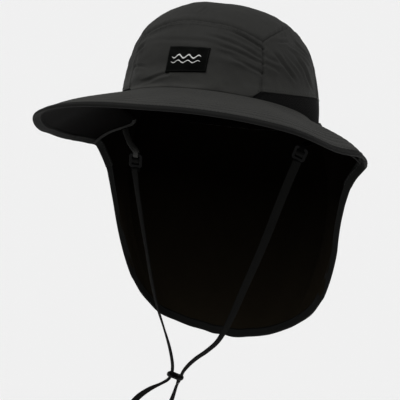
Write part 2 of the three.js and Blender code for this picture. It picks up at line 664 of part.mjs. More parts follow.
/** The chin cord, its slider, and the tab and buckle at each end. */
function cordPieces() {
  const group = new THREE.Group();
  const section = stripSection(CORD_THICK, CORD_WIDTH);
  group.add(piece('chin_cord', tubeGeometry(section, CORD_ROUTE, CORD_STEPS), CORD_COLOUR));
  const slider = piece('cord_slider', sliderGeometry(), PLASTIC_COLOUR, 0.45);
  slider.position.set(...SLIDER_PLACE);
  slider.rotation.y = rad(SLIDER_ROLL);
  group.add(slider);
  const ends = { right: CORD_ROUTE[0], left: CORD_ROUTE[CORD_ROUTE.length - 1] };
  const under = BRIM_CLOTH + 2 * SEAM_GAP + TAB_THICK / 2;
  for (const [side, tab] of Object.entries(TABS)) {
    const turn = side === 'left' ? BRIM_END_TURN : -BRIM_END_TURN;
    const root = brimPoint(turn, tab.share).addScaledVector(brimNormal(turn, tab.share), -under);
    const route = [root.toArray(), tab.bend, tab.to];
    const strip = tubeGeometry(stripSection(TAB_WIDTH, TAB_THICK), route, 6);
    group.add(piece(`cord_tab_${side}`, strip, CORD_COLOUR));
    const buckle = piece(`cord_buckle_${side}`, buckleGeometry(), PLASTIC_COLOUR, 0.45);
    buckle.position.copy(vec(tab.to).add(vec(ends[side])).multiplyScalar(0.5));
    buckle.rotation.y = rad(tab.roll);
    group.add(buckle);
  }
  return group;
}

const hat = new THREE.Group();
hat.add(crownPieces(), brimPieces(), flapPieces(), cordPieces());

export default hat;
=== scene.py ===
"""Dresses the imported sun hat: sewn cloth panels, net vents, a bound brim, a hanging flap, a cord.

Shapes are worked out in millimetres in the hat's own frame, +Z up, front towards -Y and the
wearer's left towards +X, and written to the meshes in metres.
"""

import itertools
import json
import logging
import math
from collections.abc import Callable, Iterable, Sequence
from dataclasses import dataclass, field, replace
from enum import Enum

import bpy
import numpy as np
from mathutils import Matrix, Vector

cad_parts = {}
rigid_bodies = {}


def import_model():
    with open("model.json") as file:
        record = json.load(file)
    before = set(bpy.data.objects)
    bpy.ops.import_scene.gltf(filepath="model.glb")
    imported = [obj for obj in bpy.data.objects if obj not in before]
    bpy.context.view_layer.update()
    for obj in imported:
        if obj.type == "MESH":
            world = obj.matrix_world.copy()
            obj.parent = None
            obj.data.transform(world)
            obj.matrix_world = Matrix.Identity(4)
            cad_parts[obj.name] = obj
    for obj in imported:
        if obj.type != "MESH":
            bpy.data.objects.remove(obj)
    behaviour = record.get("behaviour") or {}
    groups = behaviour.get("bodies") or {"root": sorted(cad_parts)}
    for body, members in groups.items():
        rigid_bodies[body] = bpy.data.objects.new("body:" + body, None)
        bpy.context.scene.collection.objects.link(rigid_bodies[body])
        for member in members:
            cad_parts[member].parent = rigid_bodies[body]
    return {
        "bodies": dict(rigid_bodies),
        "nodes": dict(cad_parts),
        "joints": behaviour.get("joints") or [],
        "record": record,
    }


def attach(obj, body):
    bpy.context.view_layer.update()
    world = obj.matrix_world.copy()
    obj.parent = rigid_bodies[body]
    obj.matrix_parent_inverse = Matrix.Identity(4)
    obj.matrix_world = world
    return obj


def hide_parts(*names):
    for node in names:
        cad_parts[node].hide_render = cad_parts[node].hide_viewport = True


Array = np.ndarray
Point = tuple[float, float, float]
Colour = tuple[float, float, float]
Pair = tuple[float, float]
Row = tuple[float, ...]
Item = bpy.types.Object
Material = bpy.types.Material
Socket = bpy.types.NodeSocket
LOG = logging.getLogger("sun_hat")
MM = 0.001
BODY = "root"


class Side(Enum):
    """The two sides of the hat, as the sign of X."""

    LEFT = 1
    RIGHT = -1

    @property
    def word(self) -> str:
        """Name of the side in lower case."""
        return self.name.lower()


# Numbers along a line


def hermite(a: Array, p: Array, b: Array, q: Array, t: Array) -> Array:
    """Cubic from a to b with end slopes p and q."""
    u = 1 - t
    return a * (1 + 2 * t) * u * u + p * t * u * u + b * t * t * (3 - 2 * t) - q * t * t * u


def smooth(keys: Sequence[float], values: Sequence[float], at: Array) -> Array:
    """Reads a table smoothly.

    Args:
        keys: rising places of the rows.
        values: the value of each row.
        at: places to read.

    Returns:
        The values there, held at the ends.
    """
    k, v, at = np.asarray(keys, float), np.asarray(values, float), np.asarray(at, float)
    last = len(k) - 1
    low, high = np.maximum(np.arange(len(k)) - 1, 0), np.minimum(np.arange(len(k)) + 1, last)
    slope = (v[high] - v[low]) / (k[high] - k[low])
    i = np.clip(np.searchsorted(k, at, side="right") - 1, 0, last - 1)
    span = k[i + 1] - k[i]
    t = np.clip((at - k[i]) / span, 0, 1)
    return hermite(v[i], slope[i] * span, v[i + 1], slope[i + 1] * span, t)


def bump(offset: Array, wide: float) -> Array:
    """Soft bump of height 1 that fades to nothing at one half width from its middle."""
    t = np.minimum(np.abs(offset) / wide, 1)
    return (1 + np.cos(np.pi * t)) / 2


def graded(count: int, border: float) -> Array:
    """Values from 0 to 1 with close steps at both ends, for a wall with rounded borders."""
    start = border * np.array([0.0, 0.14, 0.45])
    return np.concatenate([start, np.linspace(border, 1 - border, count), 1 - start[::-1]])


def rounding(values: Array, border: float) -> Array:
    """Share of a wall's thickness at each graded value, round at the borders."""
    inside = np.clip(np.minimum(values, 1 - values) / border, 0, 1)
    return np.maximum(np.sqrt(1 - (1 - inside) ** 2), 0.2)


def rounded_border(u: Array, across: float, v: Array, up: float) -> Array:
    """Share of a wall's thickness over a whole grid that is round at all four borders."""
    return rounding(u, across)[:, None] * rounding(v, up)[None]


class Waves:
    """A smooth seeded relief: the sum of plane waves of about one length."""

    def __init__(self, length: float, seed: int, count: int = 12) -> None:
        rng = np.random.default_rng(seed)
        ways = rng.normal(size=(count, 3))
        ways /= np.linalg.norm(ways, axis=1, keepdims=True)
        self.ways = ways * (2 * np.pi / (length * rng.uniform(0.7, 1.8, count)))[:, None]
        self.starts = rng.uniform(0, 2 * np.pi, count)

    def at(self, points: Array) -> Array:
        """Height of the relief at points, about 1 at its crests."""
        return np.sin(points @ self.ways.T + self.starts).sum(-1) / math.sqrt(len(self.starts))


def half_turn(turn: Array) -> Array:
    """Angles in degrees, brought between -180 and 180."""
    return (np.asarray(turn, float) + 180) % 360 - 180


def unit(vectors: Array) -> Array:
    """Vectors brought to length 1."""
    return vectors / np.maximum(np.linalg.norm(vectors, axis=-1, keepdims=True), 1e-9)


def rounded_path(points: Sequence[Point], step: float) -> Array:
    """Centripetal curve through points, as the solids' cord follows it, in even steps.

    Args:
        points: the points it passes through, in millimetres.
        step: distance between the returned points.

    Returns:
        Points along the curve, one row each.
    """
    p = np.asarray(points, float)
    p = np.vstack([2 * p[0] - p[1], p, 2 * p[-1] - p[-2]])
    rows = []
    for i in range(1, len(p) - 2):
        a, b, c, d = p[i - 1 : i + 3]
        k1 = max(np.linalg.norm(b - a), 1e-6) ** 0.5
        k2 = k1 + max(np.linalg.norm(c - b), 1e-6) ** 0.5
        k3 = k2 + max(np.linalg.norm(d - c), 1e-6) ** 0.5
        for t in np.linspace(k1, k2, 24, endpoint=False):
            ab = a * (k1 - t) / k1 + b * t / k1
            bc = b * (k2 - t) / (k2 - k1) + c * (t - k1) / (k2 - k1)
            cd = c * (k3 - t) / (k3 - k2) + d * (t - k2) / (k3 - k2)
            abc = ab * (k2 - t) / k2 + bc * t / k2
            bcd = bc * (k3 - t) / (k3 - k1) + cd * (t - k1) / (k3 - k1)
            rows.append(abc * (k2 - t) / (k2 - k1) + bcd * (t - k1) / (k2 - k1))
    rows.append(p[-2])
    dense = np.array(rows)
    length = np.concatenate([[0], np.cumsum(np.linalg.norm(np.diff(dense, axis=0), axis=1))])
    even = np.linspace(0, length[-1], max(int(length[-1] / step), 2) + 1)
    return np.stack([np.interp(even, length, dense[:, k]) for k in range(3)], axis=1)


def tangents(path: Array) -> Array:
    """Direction of a path at each of its points."""
    return unit(np.gradient(path, axis=0))


def raised(points: Array, normals: Array, height: Array | float) -> Array:
    """Points moved along their normals by a height."""
    return points + normals * np.asarray(height)[..., None]


def square_to(vectors: Array, way: Array) -> Array:
    """Unit vectors without their part along a path's direction."""
    return unit(vectors - way * (vectors * way).sum(-1, keepdims=True))


def hill(offset: Array, wide: float) -> Array:
    """Bell of height 1 round zero."""
    return np.exp(-((offset / wide) ** 2))


def eased(rows: Array, rounds: int, own: float = 1.0) -> Array:
    """Rows drawn toward their neighbours, with the first and the last kept.

    Args:
        rows: points or directions in order.
        rounds: how often they are drawn.
        own: weight of a row itself against each of its neighbours.

    Returns:
        The eased rows.
    """
    rows = rows.copy()
    for _ in range(rounds):
        rows[1:-1] = (rows[:-2] + own * rows[1:-1] + rows[2:]) / (own + 2)
    return rows


# The hat's form, the same as its solids


@dataclass(frozen=True)
class HatForm:
    """Sizes and surfaces of the hat, in millimetres and degrees."""

    head_width: float = 180.0
    head_length: float = 208.0
    opening_dip: float = 1.4
    crown_height: float = 96.5
    crown_shoulder: float = 2.66
    crown_fullness: float = 2.74
    crown_slack: float = 3.0
    wear_tilt: float = 20.0
    front_seam_turn: float = 45.0
    back_seam_turn: float = 95.0
    top_seam_front: float = 0.67
    top_seam_corner: float = 0.55
    top_seam_side: float = 0.84
    top_seam_round: float = 0.85
    brim_reach: float = 101.5
    brim_end: float = 100.4
    brim_sag: float = 8.0
    brim_sag_start: float = 60.0
    brim_sag_at: float = 0.16
    brim_arch: float = 5.0
    brim_arch_lean: float = 1.7
    flap_drop: float = 180.0
    flap_front: float = 15.5
    flap_lap: float = 5.0
    hem_half_width: float = 100.0
    hem_depth: float = 48.5
    hem_swing: float = 18.0
    flap_fold: float = 3.5
    flap_offset: float = 1.84
    brim_turns: Row = (0.0, 0.2, 0.4, 0.6, 0.8, 1.0)
    brim_reaches: Row = (1.0, 0.985, 0.937, 0.829, 0.718, 0.62)
    brim_slopes: Row = (20.3, 20.3, 23.0, 29.6, 30.2, 34.8)
    brim_arches: Row = (0.4, 0.5, 0.7, 0.9, 1.0, 0.8)
    vent_turns: Row = (38.0, 40.5, 42.5, 45.0, 65.0, 95.0, 108.0, 114.0)
    vent_rises: Row = (0.0, 0.012, 0.04, 0.075, 0.125, 0.21, 0.2, 0.0)
    vent_rises_right: Row = (0.0, 0.008, 0.02, 0.035, 0.055, 0.21, 0.2, 0.0)
    # How far the crown's foot spreads at the sides, and its fall for each millimetre of spread
    foot_turns: Row = (0.0, 55.0, 90.0, 118.0, 150.0, 180.0)
    foot_spreads: Row = (0.0, 0.0, 4.8, 4.8, 0.0, 0.0)
    foot_fall_turns: Row = (0, 60, 70, 80, 90, 95, 100, 112, 130, 180)
    foot_falls: Row = (0.5, 0.5, 0.59, 0.87, 1.33, 1.62, 1.97, 1.2, 0.5, 0.5)
    brim_lift_left: float = -0.12
    brim_lean_left: float = 0.9
    brim_edge_dip: float = 2.4
    # Turn and half width in degrees, rise and half height as shares, depth as a share of slack
    crown_folds: tuple[tuple[float, float, float, float, float], ...] = (
        (-49, 7, 0.29, 0.17, -0.9), (-30, 18, 0.12, 0.05, 0.35), (-24, 20, 0.05, 0.04, -0.3),
        (-22, 24, 0.57, 0.05, -0.35), (36, 10, 0.5, 0.06, -0.45), (34, 12, 0.38, 0.05, -0.4),
        (52, 7, 0.34, 0.2, 0.35), (70, 9, 0.66, 0.08, -0.7), (80, 10, 0.45, 0.09, 0.4),
        (150, 16, 0.4, 0.12, -0.5), (-140, 16, 0.5, 0.12, -0.5),
    )
    flap_turns: Row = (0.0, 0.16, 0.32, 0.5, 0.7, 0.85, 1.0)
    flap_away: Row = (-0.62, -0.12, 0.35, 0.46, 0.5, 0.52, 0.53)
    flap_across: Row = (1.0, 0.88, 0.72, 0.53, 0.31, 0.15, 0.0)
    flap_behind: Row = (0.015, 0.1, 0.42, 0.75, 0.93, 0.985, 1.0)
    flap_down: Row = (1.0, 1.115, 1.225, 1.292, 1.35, 1.377, 1.37)
    flap_tuck: Row = (-0.4, -0.42, -0.42, -0.4, -0.36, -0.33, -0.32)
    # Outward push of the front edges by depth, drop of the hem by place, in millimetres;
    # then place round the flap, half width and depth of each soft fold
    flap_edge_rows: Row = (
        0.0, 0.07, 0.13, 0.19, 0.25, 0.3, 0.36, 0.42, 0.5, 0.58, 0.65, 0.72, 0.84, 1.0,
    )
    flap_edge_right: Row = (
        -0.4, -0.9, -1.0, -0.6, 0.6, 1.3, 2.0, 2.3, 2.7, 2.8, 2.7, 2.4, 1.7, 0.8,
    )
    flap_edge_left: Row = (
        1.0, 0.4, -1.0, -1.4, -1.1, -1.0, -0.6, -0.4, 0.1, 0.9, 1.8, 2.0, 2.0, 1.8,
    )
    hem_rows: Row = (
        0.0, 0.15, 0.27, 0.38, 0.46, 0.53, 0.6, 0.68, 0.77, 0.86, 0.94, 1.02, 1.1,
        1.2, 1.28, 1.36, 1.44, 1.52, 1.6, 1.69, 1.77, 1.85, 2.0,
    )
    hem_drops: Row = (
        0.0, 0.2, -0.9, 0.0, 2.1, 3.1, 2.8, 1.9, 0.8, 0.8, 1.4, 0.8, -0.2,
        -1.4, -0.4, 1.0, 1.7, 2.0, 1.8, 1.1, -0.5, -0.4, 0.0,
    )
    flap_folds: tuple[tuple[float, float, float], ...] = (
        (0.42, 0.09, 0.7), (0.63, 0.08, -0.8), (0.86, 0.09, 0.9),
        (1.1, 0.09, -0.9), (1.34, 0.08, 0.8), (1.56, 0.09, -0.6),
    )

    @property
    def half_width(self) -> float:
        """Half the head opening's width."""
        return self.head_width / 2

    @property
    def half_length(self) -> float:
        """Half the head opening's length."""
        return self.head_length / 2

    @property
    def mean_radius(self) -> float:
        """Mean radius of the head opening."""
        return (self.half_width + self.half_length) / 2

    def worn(self, x: Array, y: Array, z: Array) -> Array:
        """Points of the upright hat, tilted back as it is worn."""
        c, s = math.cos(math.radians(self.wear_tilt)), math.sin(math.radians(self.wear_tilt))
        x, y, z = np.broadcast_arrays(x, y, z)
        return np.stack([x, y * c + z * s, -y * s + z * c], axis=-1)

    def outward(self, turn: Array) -> tuple[Array, Array]:
        """Outward direction of the head opening in plan, as its two parts."""
        a = np.radians(turn)
        x, y = np.sin(a) / self.half_width, -np.cos(a) / self.half_length
        size = np.hypot(x, y)
        return x / size, y / size

    def top_seam(self, turn: Array) -> Array:
        """Height share of the seam round the top panel."""
        around = np.abs(half_turn(turn))
        around = np.minimum(around, 180 - around)
        fall = self.top_seam_front - self.top_seam_corner
        front = self.top_seam_front - fall * (around / self.front_seam_turn) ** 2.2
        share = np.clip((around - self.front_seam_turn) / (90 - self.front_seam_turn), 0, 1)
        climb = np.sin(np.pi / 2 * share) ** self.top_seam_round
        side = self.top_seam_corner + (self.top_seam_side - self.top_seam_corner) * climb
        return np.where(around <= self.front_seam_turn, front, side)

    def vent_edge(self, turn: Array) -> Array:
        """Height share of the vent's upper edge, 0 where there is no vent."""
        turn = half_turn(turn)
        left = np.interp(turn, self.vent_turns, self.vent_rises)
        return np.where(turn < 0, np.interp(-turn, self.vent_turns, self.vent_rises_right), left)

    def share_at(self, rise: Array) -> Array:
        """Width of the crown at a height, as a share of its width at the opening."""
        return (1 - np.clip(rise, 0, 1) ** self.crown_shoulder) ** (1 / self.crown_fullness)

    def rise_at(self, share: Array) -> Array:
        """Height share at which the crown has a share of its width."""
        return (1 - np.clip(share, 0, 1) ** self.crown_fullness) ** (1 / self.crown_shoulder)

    def foot_spread(self, turn: Array) -> Array:
        """How far the crown's foot spreads outward over the brim's rear corners."""
        around = np.abs(half_turn(turn))
        return smooth(self.foot_turns, self.foot_spreads, around)

    def crown(self, turn: Array, rise: Array) -> Array:
        """Outer face of the crown."""
        turn, rise = np.asarray(turn, float), np.clip(rise, 0, 1)
        share, a = self.share_at(rise), np.radians(turn)
        fold = np.zeros(np.broadcast(turn, rise).shape)
        for middle, wide, height, tall, depth in self.crown_folds:
            offset = half_turn(turn - middle)
            fold = fold + depth * bump(offset, 2 * wide) * bump(rise - height, 2 * tall)
        fold = fold * self.crown_slack * share
        fold = fold * np.clip(rise * self.crown_height / self.crown_slack, 0, 1)
        ox, oy = self.outward(turn)
        dip = self.opening_dip * np.sin(a) ** 2
        spread = self.foot_spread(turn)
        out = fold + spread * np.clip(1 - rise / 0.45, 0, 1) ** 1.6
        around = np.abs(half_turn(turn))
        fall = spread * smooth(self.foot_fall_turns, self.foot_falls, around)
        fall = fall * np.clip(1 - rise / 0.18, 0, 1) ** 2
        x = self.half_width * np.sin(a) * share + ox * out
        y = -self.half_length * np.cos(a) * share + oy * out
        return self.worn(x, y, self.crown_height * rise - dip * (1 - rise) - fall)

    def brim_row(self, values: Sequence[float], turn: Array) -> Array:
        """One of the brim's tables at an angle."""
        return smooth(self.brim_turns, values, np.abs(turn) / self.brim_end)

    def reach(self, turn: Array) -> Array:
        """Reach of the brim from the head opening to its edge."""
        return self.brim_reach * self.brim_row(self.brim_reaches, turn)

    def brim(self, turn: Array, share: Array) -> Array:
        """Upper face of the brim, at a share of its reach."""
        turn, share = np.asarray(turn, float), np.asarray(share, float)
        reach = self.reach(turn) * share
        slope = np.radians(self.brim_row(self.brim_slopes, turn))
        rear_left = np.clip((turn - 72) / 16, 0, 1)
        lean = self.brim_arch_lean + self.brim_lean_left * rear_left
        bulge = np.sin(np.pi * np.clip(share, 0, 1) ** lean)
        lift = 1 + self.brim_lift_left * rear_left
        arch = self.brim_arch * self.brim_row(self.brim_arches, turn) * bulge * lift
        arch = arch - self.brim_edge_dip * bump(turn + 81, 15) * np.clip(share, 0, 1) ** 2
        ramp = np.clip(
            (np.abs(turn) - self.brim_sag_start) / (self.brim_end - self.brim_sag_start), 0, 1
        ) ** 2
        near = np.sin(np.pi / 2 * np.clip(share / self.brim_sag_at, 0, 1))
        far = (1 - share) / (1 - self.brim_sag_at)
        sag = self.brim_sag * ramp * np.where(share < self.brim_sag_at, near, far)
        ox, oy = self.outward(turn)
        a = np.radians(turn)
        x = self.half_width * np.sin(a) + ox * reach * np.cos(slope)
        y = -self.half_length * np.cos(a) + oy * reach * np.cos(slope)
        dip = self.opening_dip * np.sin(a) ** 2
        return self.worn(x, y, arch - dip - reach * np.sin(slope) - sag)

    @property
    def flap_start(self) -> float:
        """Angle at which the flap leaves the brim's rear edge."""
        return self.brim_end + math.degrees(self.flap_offset / self.mean_radius)

    @property
    def rear_edge(self) -> float:
        """Length of the brim's rear edge."""
        return float(self.reach(self.brim_end))

    @property
    def rear_share(self) -> float:
        """Share of half the flap's top that lies along the brim's rear edge."""
        round_back = math.radians(180 - self.flap_start) * self.mean_radius
        return self.rear_edge / (self.rear_edge + round_back)

    def flap_top(self, along: Array, side: Array) -> Array:
        """Top of the flap: along the brim's rear edge, then round the crown's back."""
        cloth, seam = 1.6, 1.04
        inner = (self.flap_offset + cloth) / self.rear_edge
        lead = np.clip(along / self.rear_share, 0, 1)
        front = self.brim(side * self.flap_start, 1 + (inner - 1) * lead)
        t = np.clip((along - self.rear_share) / (1 - self.rear_share), 0, 1)
        turn = side * (self.flap_start + (180 - self.flap_start) * t)
        corner = (1 - t) ** 8
        drop = (self.flap_offset + cloth) * (0.5 + self.brim_sag / self.rear_edge / self.brim_sag_at)
        ox, oy = self.outward(turn)
        lapped = seam + self.foot_spread(turn) * 0.85
        out = lapped + (self.flap_offset + cloth - lapped) * corner
        a = np.radians(turn)
        x, y = self.half_width * np.sin(a) + ox * out, -self.half_length * np.cos(a) + oy * out
        z = -self.opening_dip * np.sin(a) ** 2 + self.flap_lap - (self.flap_lap + drop) * corner
        return np.where((along <= self.rear_share)[..., None], front, self.worn(x, y, z))

    def flap(self, around: Array, down: Array) -> Array:
        """Middle face of the flap: 0 to 2 round it from the wearer's left, 0 to 1 down it."""
        around, down = np.broadcast_arrays(np.asarray(around, float), np.asarray(down, float))
        side = np.where(around <= 1, 1.0, -1.0)
        along = np.where(around <= 1, around, 2 - around)
        top = self.flap_top(along, side)
        row = {
            name: smooth(self.flap_turns, getattr(self, f"flap_{name}"), along)
            for name in ("away", "across", "behind", "down", "tuck")
        }
        hem = np.stack([
            side * row["across"] * self.hem_half_width - row["behind"] * self.hem_swing,
            self.flap_front + row["behind"] * self.hem_depth,
            -row["down"] * self.flap_drop,
        ], axis=-1)
        drop = top[..., 2] - hem[..., 2]
        turn = np.maximum(along - self.rear_share, 0) / (1 - self.rear_share)
        ox, oy = self.outward(side * (90 + 90 * turn))
        out = np.stack([ox, oy, np.zeros_like(ox)], axis=-1)
        fold = np.zeros_like(around)
        for middle, wide, depth in self.flap_folds:
            fold = fold + depth * bump(around - middle, 2 * wide)
        soft = fold * self.flap_fold * down * (1.6 - down) * (1 - 0.9 * down**4)
        edge = np.where(around > 1, smooth(self.flap_edge_rows, self.flap_edge_right, down),
                        smooth(self.flap_edge_rows, self.flap_edge_left, down))
        soft = soft + edge * bump(along, 0.32)
        push = out * soft[..., None]
        drops = smooth(self.hem_rows, self.hem_drops, around) * down**2
        push = push - drops[..., None] * np.array([0.0, 0.0, 1.0])
        fall = np.array([0.0, 0.0, 1.0]) * drop[..., None]
        leave = out * (row["away"] * drop)[..., None] - fall
        arrive = out * (row["tuck"] * drop)[..., None] - fall
        return hermite(top, leave, hem, arrive, down[..., None]) + push

    def normal(
        self, face: Callable[[Array, Array], Array], u: Array, v: Array,
        step: Pair, toward: Array,
    ) -> Array:
        """Normals of a face by small steps.

        Args:
            face: the surface.
            u: first place on it.
            v: second place on it.
            step: step in each of the two.
            toward: direction that the normals should agree with, one for each point.

        Returns:
            Unit normals.
        """
        du = face(u + step[0], v) - face(u - step[0], v)
        dv = face(u, v + step[1]) - face(u, v - step[1])
        normal = unit(np.cross(du, dv))
        flip = np.sign((normal * toward).sum(-1, keepdims=True))
        return normal * np.where(flip == 0, 1, flip)

    def crown_normal(self, turn: Array, rise: Array) -> Array:
        """Outward normals of the crown."""
        rise = np.clip(rise, 0.006, 0.9995)
        centre = self.worn(0.0, 0.0, 20.0)
        toward = self.crown(turn, rise) - centre
        return self.normal(self.crown, turn, rise, (0.4, 0.0004), toward)

    def brim_normal(self, turn: Array, share: Array) -> Array:
        """Upward normals of the brim."""
        turn = np.clip(turn, 1 - self.brim_end, self.brim_end - 1)
        share = np.clip(share, 0.03, 0.97)
        up = np.zeros(np.broadcast(turn, share).shape + (3,)) + np.array([0.0, 0.0, 1.0])
        return self.normal(self.brim, turn, share, (0.5, 0.02), up)

    def flap_normal(self, around: Array, down: Array) -> Array:
        """Outward normals of the flap."""
        around, down = np.clip(around, 0.01, 1.99), np.clip(down, 0.02, 0.98)
        toward = self.flap(around, down) - np.array([0.0, -self.head_length, -self.flap_drop])
        return self.normal(self.flap, around, down, (0.006, 0.02), toward)

    def crown_map(self, turn: Array, rise: Array) -> Array:
        """Places on the crown's cloth, round and up, in millimetres."""
        return np.stack([np.radians(turn) * self.mean_radius, rise * self.crown_height], -1)


FORM = HatForm()


# Meshes


def new_object(name: str, vertices: Array, faces: Sequence, uvs: Array | None = None,
               slots: Array | None = None) -> Item:
    """A mesh object at the origin.

    Args:
        name: its name.
        vertices: points in millimetres.
        faces: lists of vertex numbers.
        uvs: a place on the cloth for each vertex, in millimetres.
        slots: material index of each face.

    Returns:
        The object, linked to the scene and shaded smooth.
    """
    mesh = bpy.data.meshes.new(name)
    mesh.from_pydata((np.asarray(vertices, float) * MM).tolist(), [], [list(f) for f in faces])
    if uvs is not None:
        corners = np.zeros(len(mesh.loops), np.int32)
        mesh.loops.foreach_get("vertex_index", corners)
        layer = mesh.uv_layers.new(name="cloth")
        layer.data.foreach_set("uv", (uvs[corners] * MM).astype(np.float32).ravel())
    if slots is not None:
        mesh.polygons.foreach_set("material_index", np.asarray(slots, np.int32))
    mesh.shade_smooth()
    mesh.update()
    return linked(name, mesh)


def volume_of(vertices: Array, faces: Array) -> float:
    """Signed volume inside quads."""
    a, b, c, d = (vertices[faces[:, k]] for k in range(4))
    return float((np.cross(b, c) * a).sum() + (np.cross(c, d) * a).sum())


def turned(faces: list[list[int]], inward: bool) -> list[list[int]]:
    """Faces that look outward, turned over if they look inward."""
    return [face[::-1] for face in faces] if inward else faces


def grid_quads(numbers: Array, around: bool = False) -> Array:
    """Quads of a grid of vertex numbers, closed across its first direction if asked."""
    grid = np.vstack([numbers, numbers[:1]]) if around else numbers
    return np.stack([grid[:-1, :-1], grid[1:, :-1], grid[1:, 1:], grid[:-1, 1:]], -1).reshape(-1, 4)


def wall(name: str, outer: Array, inner: Array, uvs: Array, around: bool = False,
         poles: tuple[Array, Array] | None = None) -> Item:
    """A closed wall between two faces of one grid.

    Args:
        name: the object's name.
        outer: points of the outer face, rows by columns by 3.
        inner: points of the inner face.
        uvs: place on the cloth of each point.
        around: whether the rows close on themselves.
        poles: a point that closes each face beyond its last column.

    Returns:
        The object. Its first material is for the outer face, its second for the inner one.
    """
    rows, columns = outer.shape[:2]
    count = rows * columns
    numbers = np.arange(count).reshape(rows, columns)
    front, back = grid_quads(numbers, around), grid_quads(numbers + count, around)[:, ::-1]
    rims = [numbers[:, 0]] if poles is not None else [numbers[:, 0], numbers[::-1, -1]]
    edges = []
    for rim in rims:
        loop = np.append(rim, rim[0]) if around else rim
        edges.append(np.stack([loop[1:], loop[:-1], loop[:-1] + count, loop[1:] + count], -1))
    if not around:
        for rim in (numbers[0, ::-1], numbers[-1]):
            edges.append(np.stack([rim[1:], rim[:-1], rim[:-1] + count, rim[1:] + count], -1))
    rim_quads = np.vstack(edges)
    quads = np.vstack([front, back, rim_quads])
    points = np.vstack([outer.reshape(-1, 3), inner.reshape(-1, 3)])
    inward = volume_of(points - points.mean(0), quads) < 0
    faces = quads.tolist()
    slots = [0] * len(front) + [1] * len(back) + [0] * len(rim_quads)
    places = np.vstack([uvs.reshape(-1, 2)] * 2)
    if poles is not None:
        points = np.vstack([points, *poles])
        places = np.vstack([places, places[:1], places[:1]])
        for face, pole in enumerate((2 * count, 2 * count + 1)):
            ring = np.append(numbers[:, -1], numbers[0, -1]) + face * count
            for a, b in zip(ring[:-1].tolist(), ring[1:].tolist(), strict=True):
                faces.append([b, a, pole] if face else [a, b, pole])
                slots.append(face)
    return new_object(name, points, turned(faces, inward), places, np.array(slots))


def sweep(name: str, path: Array, across: Array, depth: Array, section: Array) -> Item:
    """A closed strip of one section along a path.

    Args:
        name: the object's name.
        path: points of the centreline.
        across: unit direction of the section's first axis at each point.
        depth: unit direction of its second axis at each point.
        section: outline of the section, in millimetres.

    Returns:
        The object, with its ends closed.
    """
    rings = raised(path[:, None], across[:, None], section[None, :, 0])
    rings = raised(rings, depth[:, None], section[None, :, 1])
    rows, columns = rings.shape[:2]
    numbers = np.arange(rows * columns).reshape(rows, columns)
    quads = grid_quads(np.hstack([numbers, numbers[:, :1]]))
    points = np.vstack([rings.reshape(-1, 3), path[0], path[-1]])
    inward = volume_of(points - points.mean(0), quads) < 0
    faces = quads.tolist()
    for last, ring in enumerate((numbers[0], numbers[-1])):
        middle = rows * columns + last
        loop = np.append(ring, ring[0]).tolist()
        for p, q in zip(loop[:-1], loop[1:], strict=True):
            faces.append([q, p, middle] if last else [p, q, middle])
    along, girth = (
        np.concatenate([[0], np.cumsum(np.linalg.norm(np.diff(line, axis=0), axis=1))])
        for line in (path, section)
    )
    uvs = np.stack(np.broadcast_arrays(along[:, None], girth[None]), -1).reshape(-1, 2)
    uvs = np.vstack([uvs, uvs[:1], uvs[-1:]])
    return new_object(name, points, turned(faces, inward), uvs)


def ribbon(name: str, route: Sequence[Array], step: float, across: Array,
           section: Array) -> Item:
    """A flat strip that keeps one edge direction along a curved route.

    Args:
        name: the object's name.
        route: points that it passes through, in millimetres.
        step: distance between its rings.
        across: direction of its width.
        section: outline of its section.

    Returns:
        The strip.
    """
    path = rounded_path([tuple(point) for point in route], step)
    way = tangents(path)
    wide = square_to(across, way)
    return sweep(name, path, wide, np.cross(way, wide), section)


def flat_section(width: float, thick: float, corners: int = 4) -> Array:
    """Outline of a flat strip with round edges."""
    r, x = thick / 2, width / 2 - thick / 2
    a = np.linspace(-np.pi / 2, np.pi / 2, corners + 1)
    right = np.stack([x + r * np.cos(a), r * np.sin(a)], 1)
    return np.vstack([right, -right])


def linked(name: str, data: bpy.types.ID) -> Item:
    """A new object in the scene, at the origin."""
    item = bpy.data.objects.new(name, data)
    bpy.context.scene.collection.objects.link(item)
    return item


def evaluated_mesh(item: Item) -> bpy.types.Mesh:
    """A new mesh of an object as its modifiers or its curve make it."""
    bpy.context.view_layer.update()
    graph = bpy.context.evaluated_depsgraph_get()
    return bpy.data.meshes.new_from_object(item.evaluated_get(graph), depsgraph=graph)


def plain_mesh(item: Item) -> Item:
    """Bakes an object's modifiers into its mesh and removes them."""
    mesh = evaluated_mesh(item)
    old = item.data
    item.modifiers.clear()
    item.data = mesh
    mesh.name = item.name
    bpy.data.meshes.remove(old)
    return item


def sewn(item: Item, slot: str, *nodes: str,
         cloths: Sequence[Material] = ()) -> Item:
    """Fixes a finished piece to the hat.

    Args:
        item: the piece.
        slot: the record's material slot for it; not used.
        nodes: solids that it stands for.
        cloths: its materials, where it has none yet.

    Returns:
        The same piece.
    """
    for cloth in cloths:
        item.data.materials.append(cloth)
    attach(item, BODY)
    if nodes:
        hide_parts(*nodes)
    LOG.info("%s: %d faces", item.name, len(item.data.polygons))
    return item


# Finishes


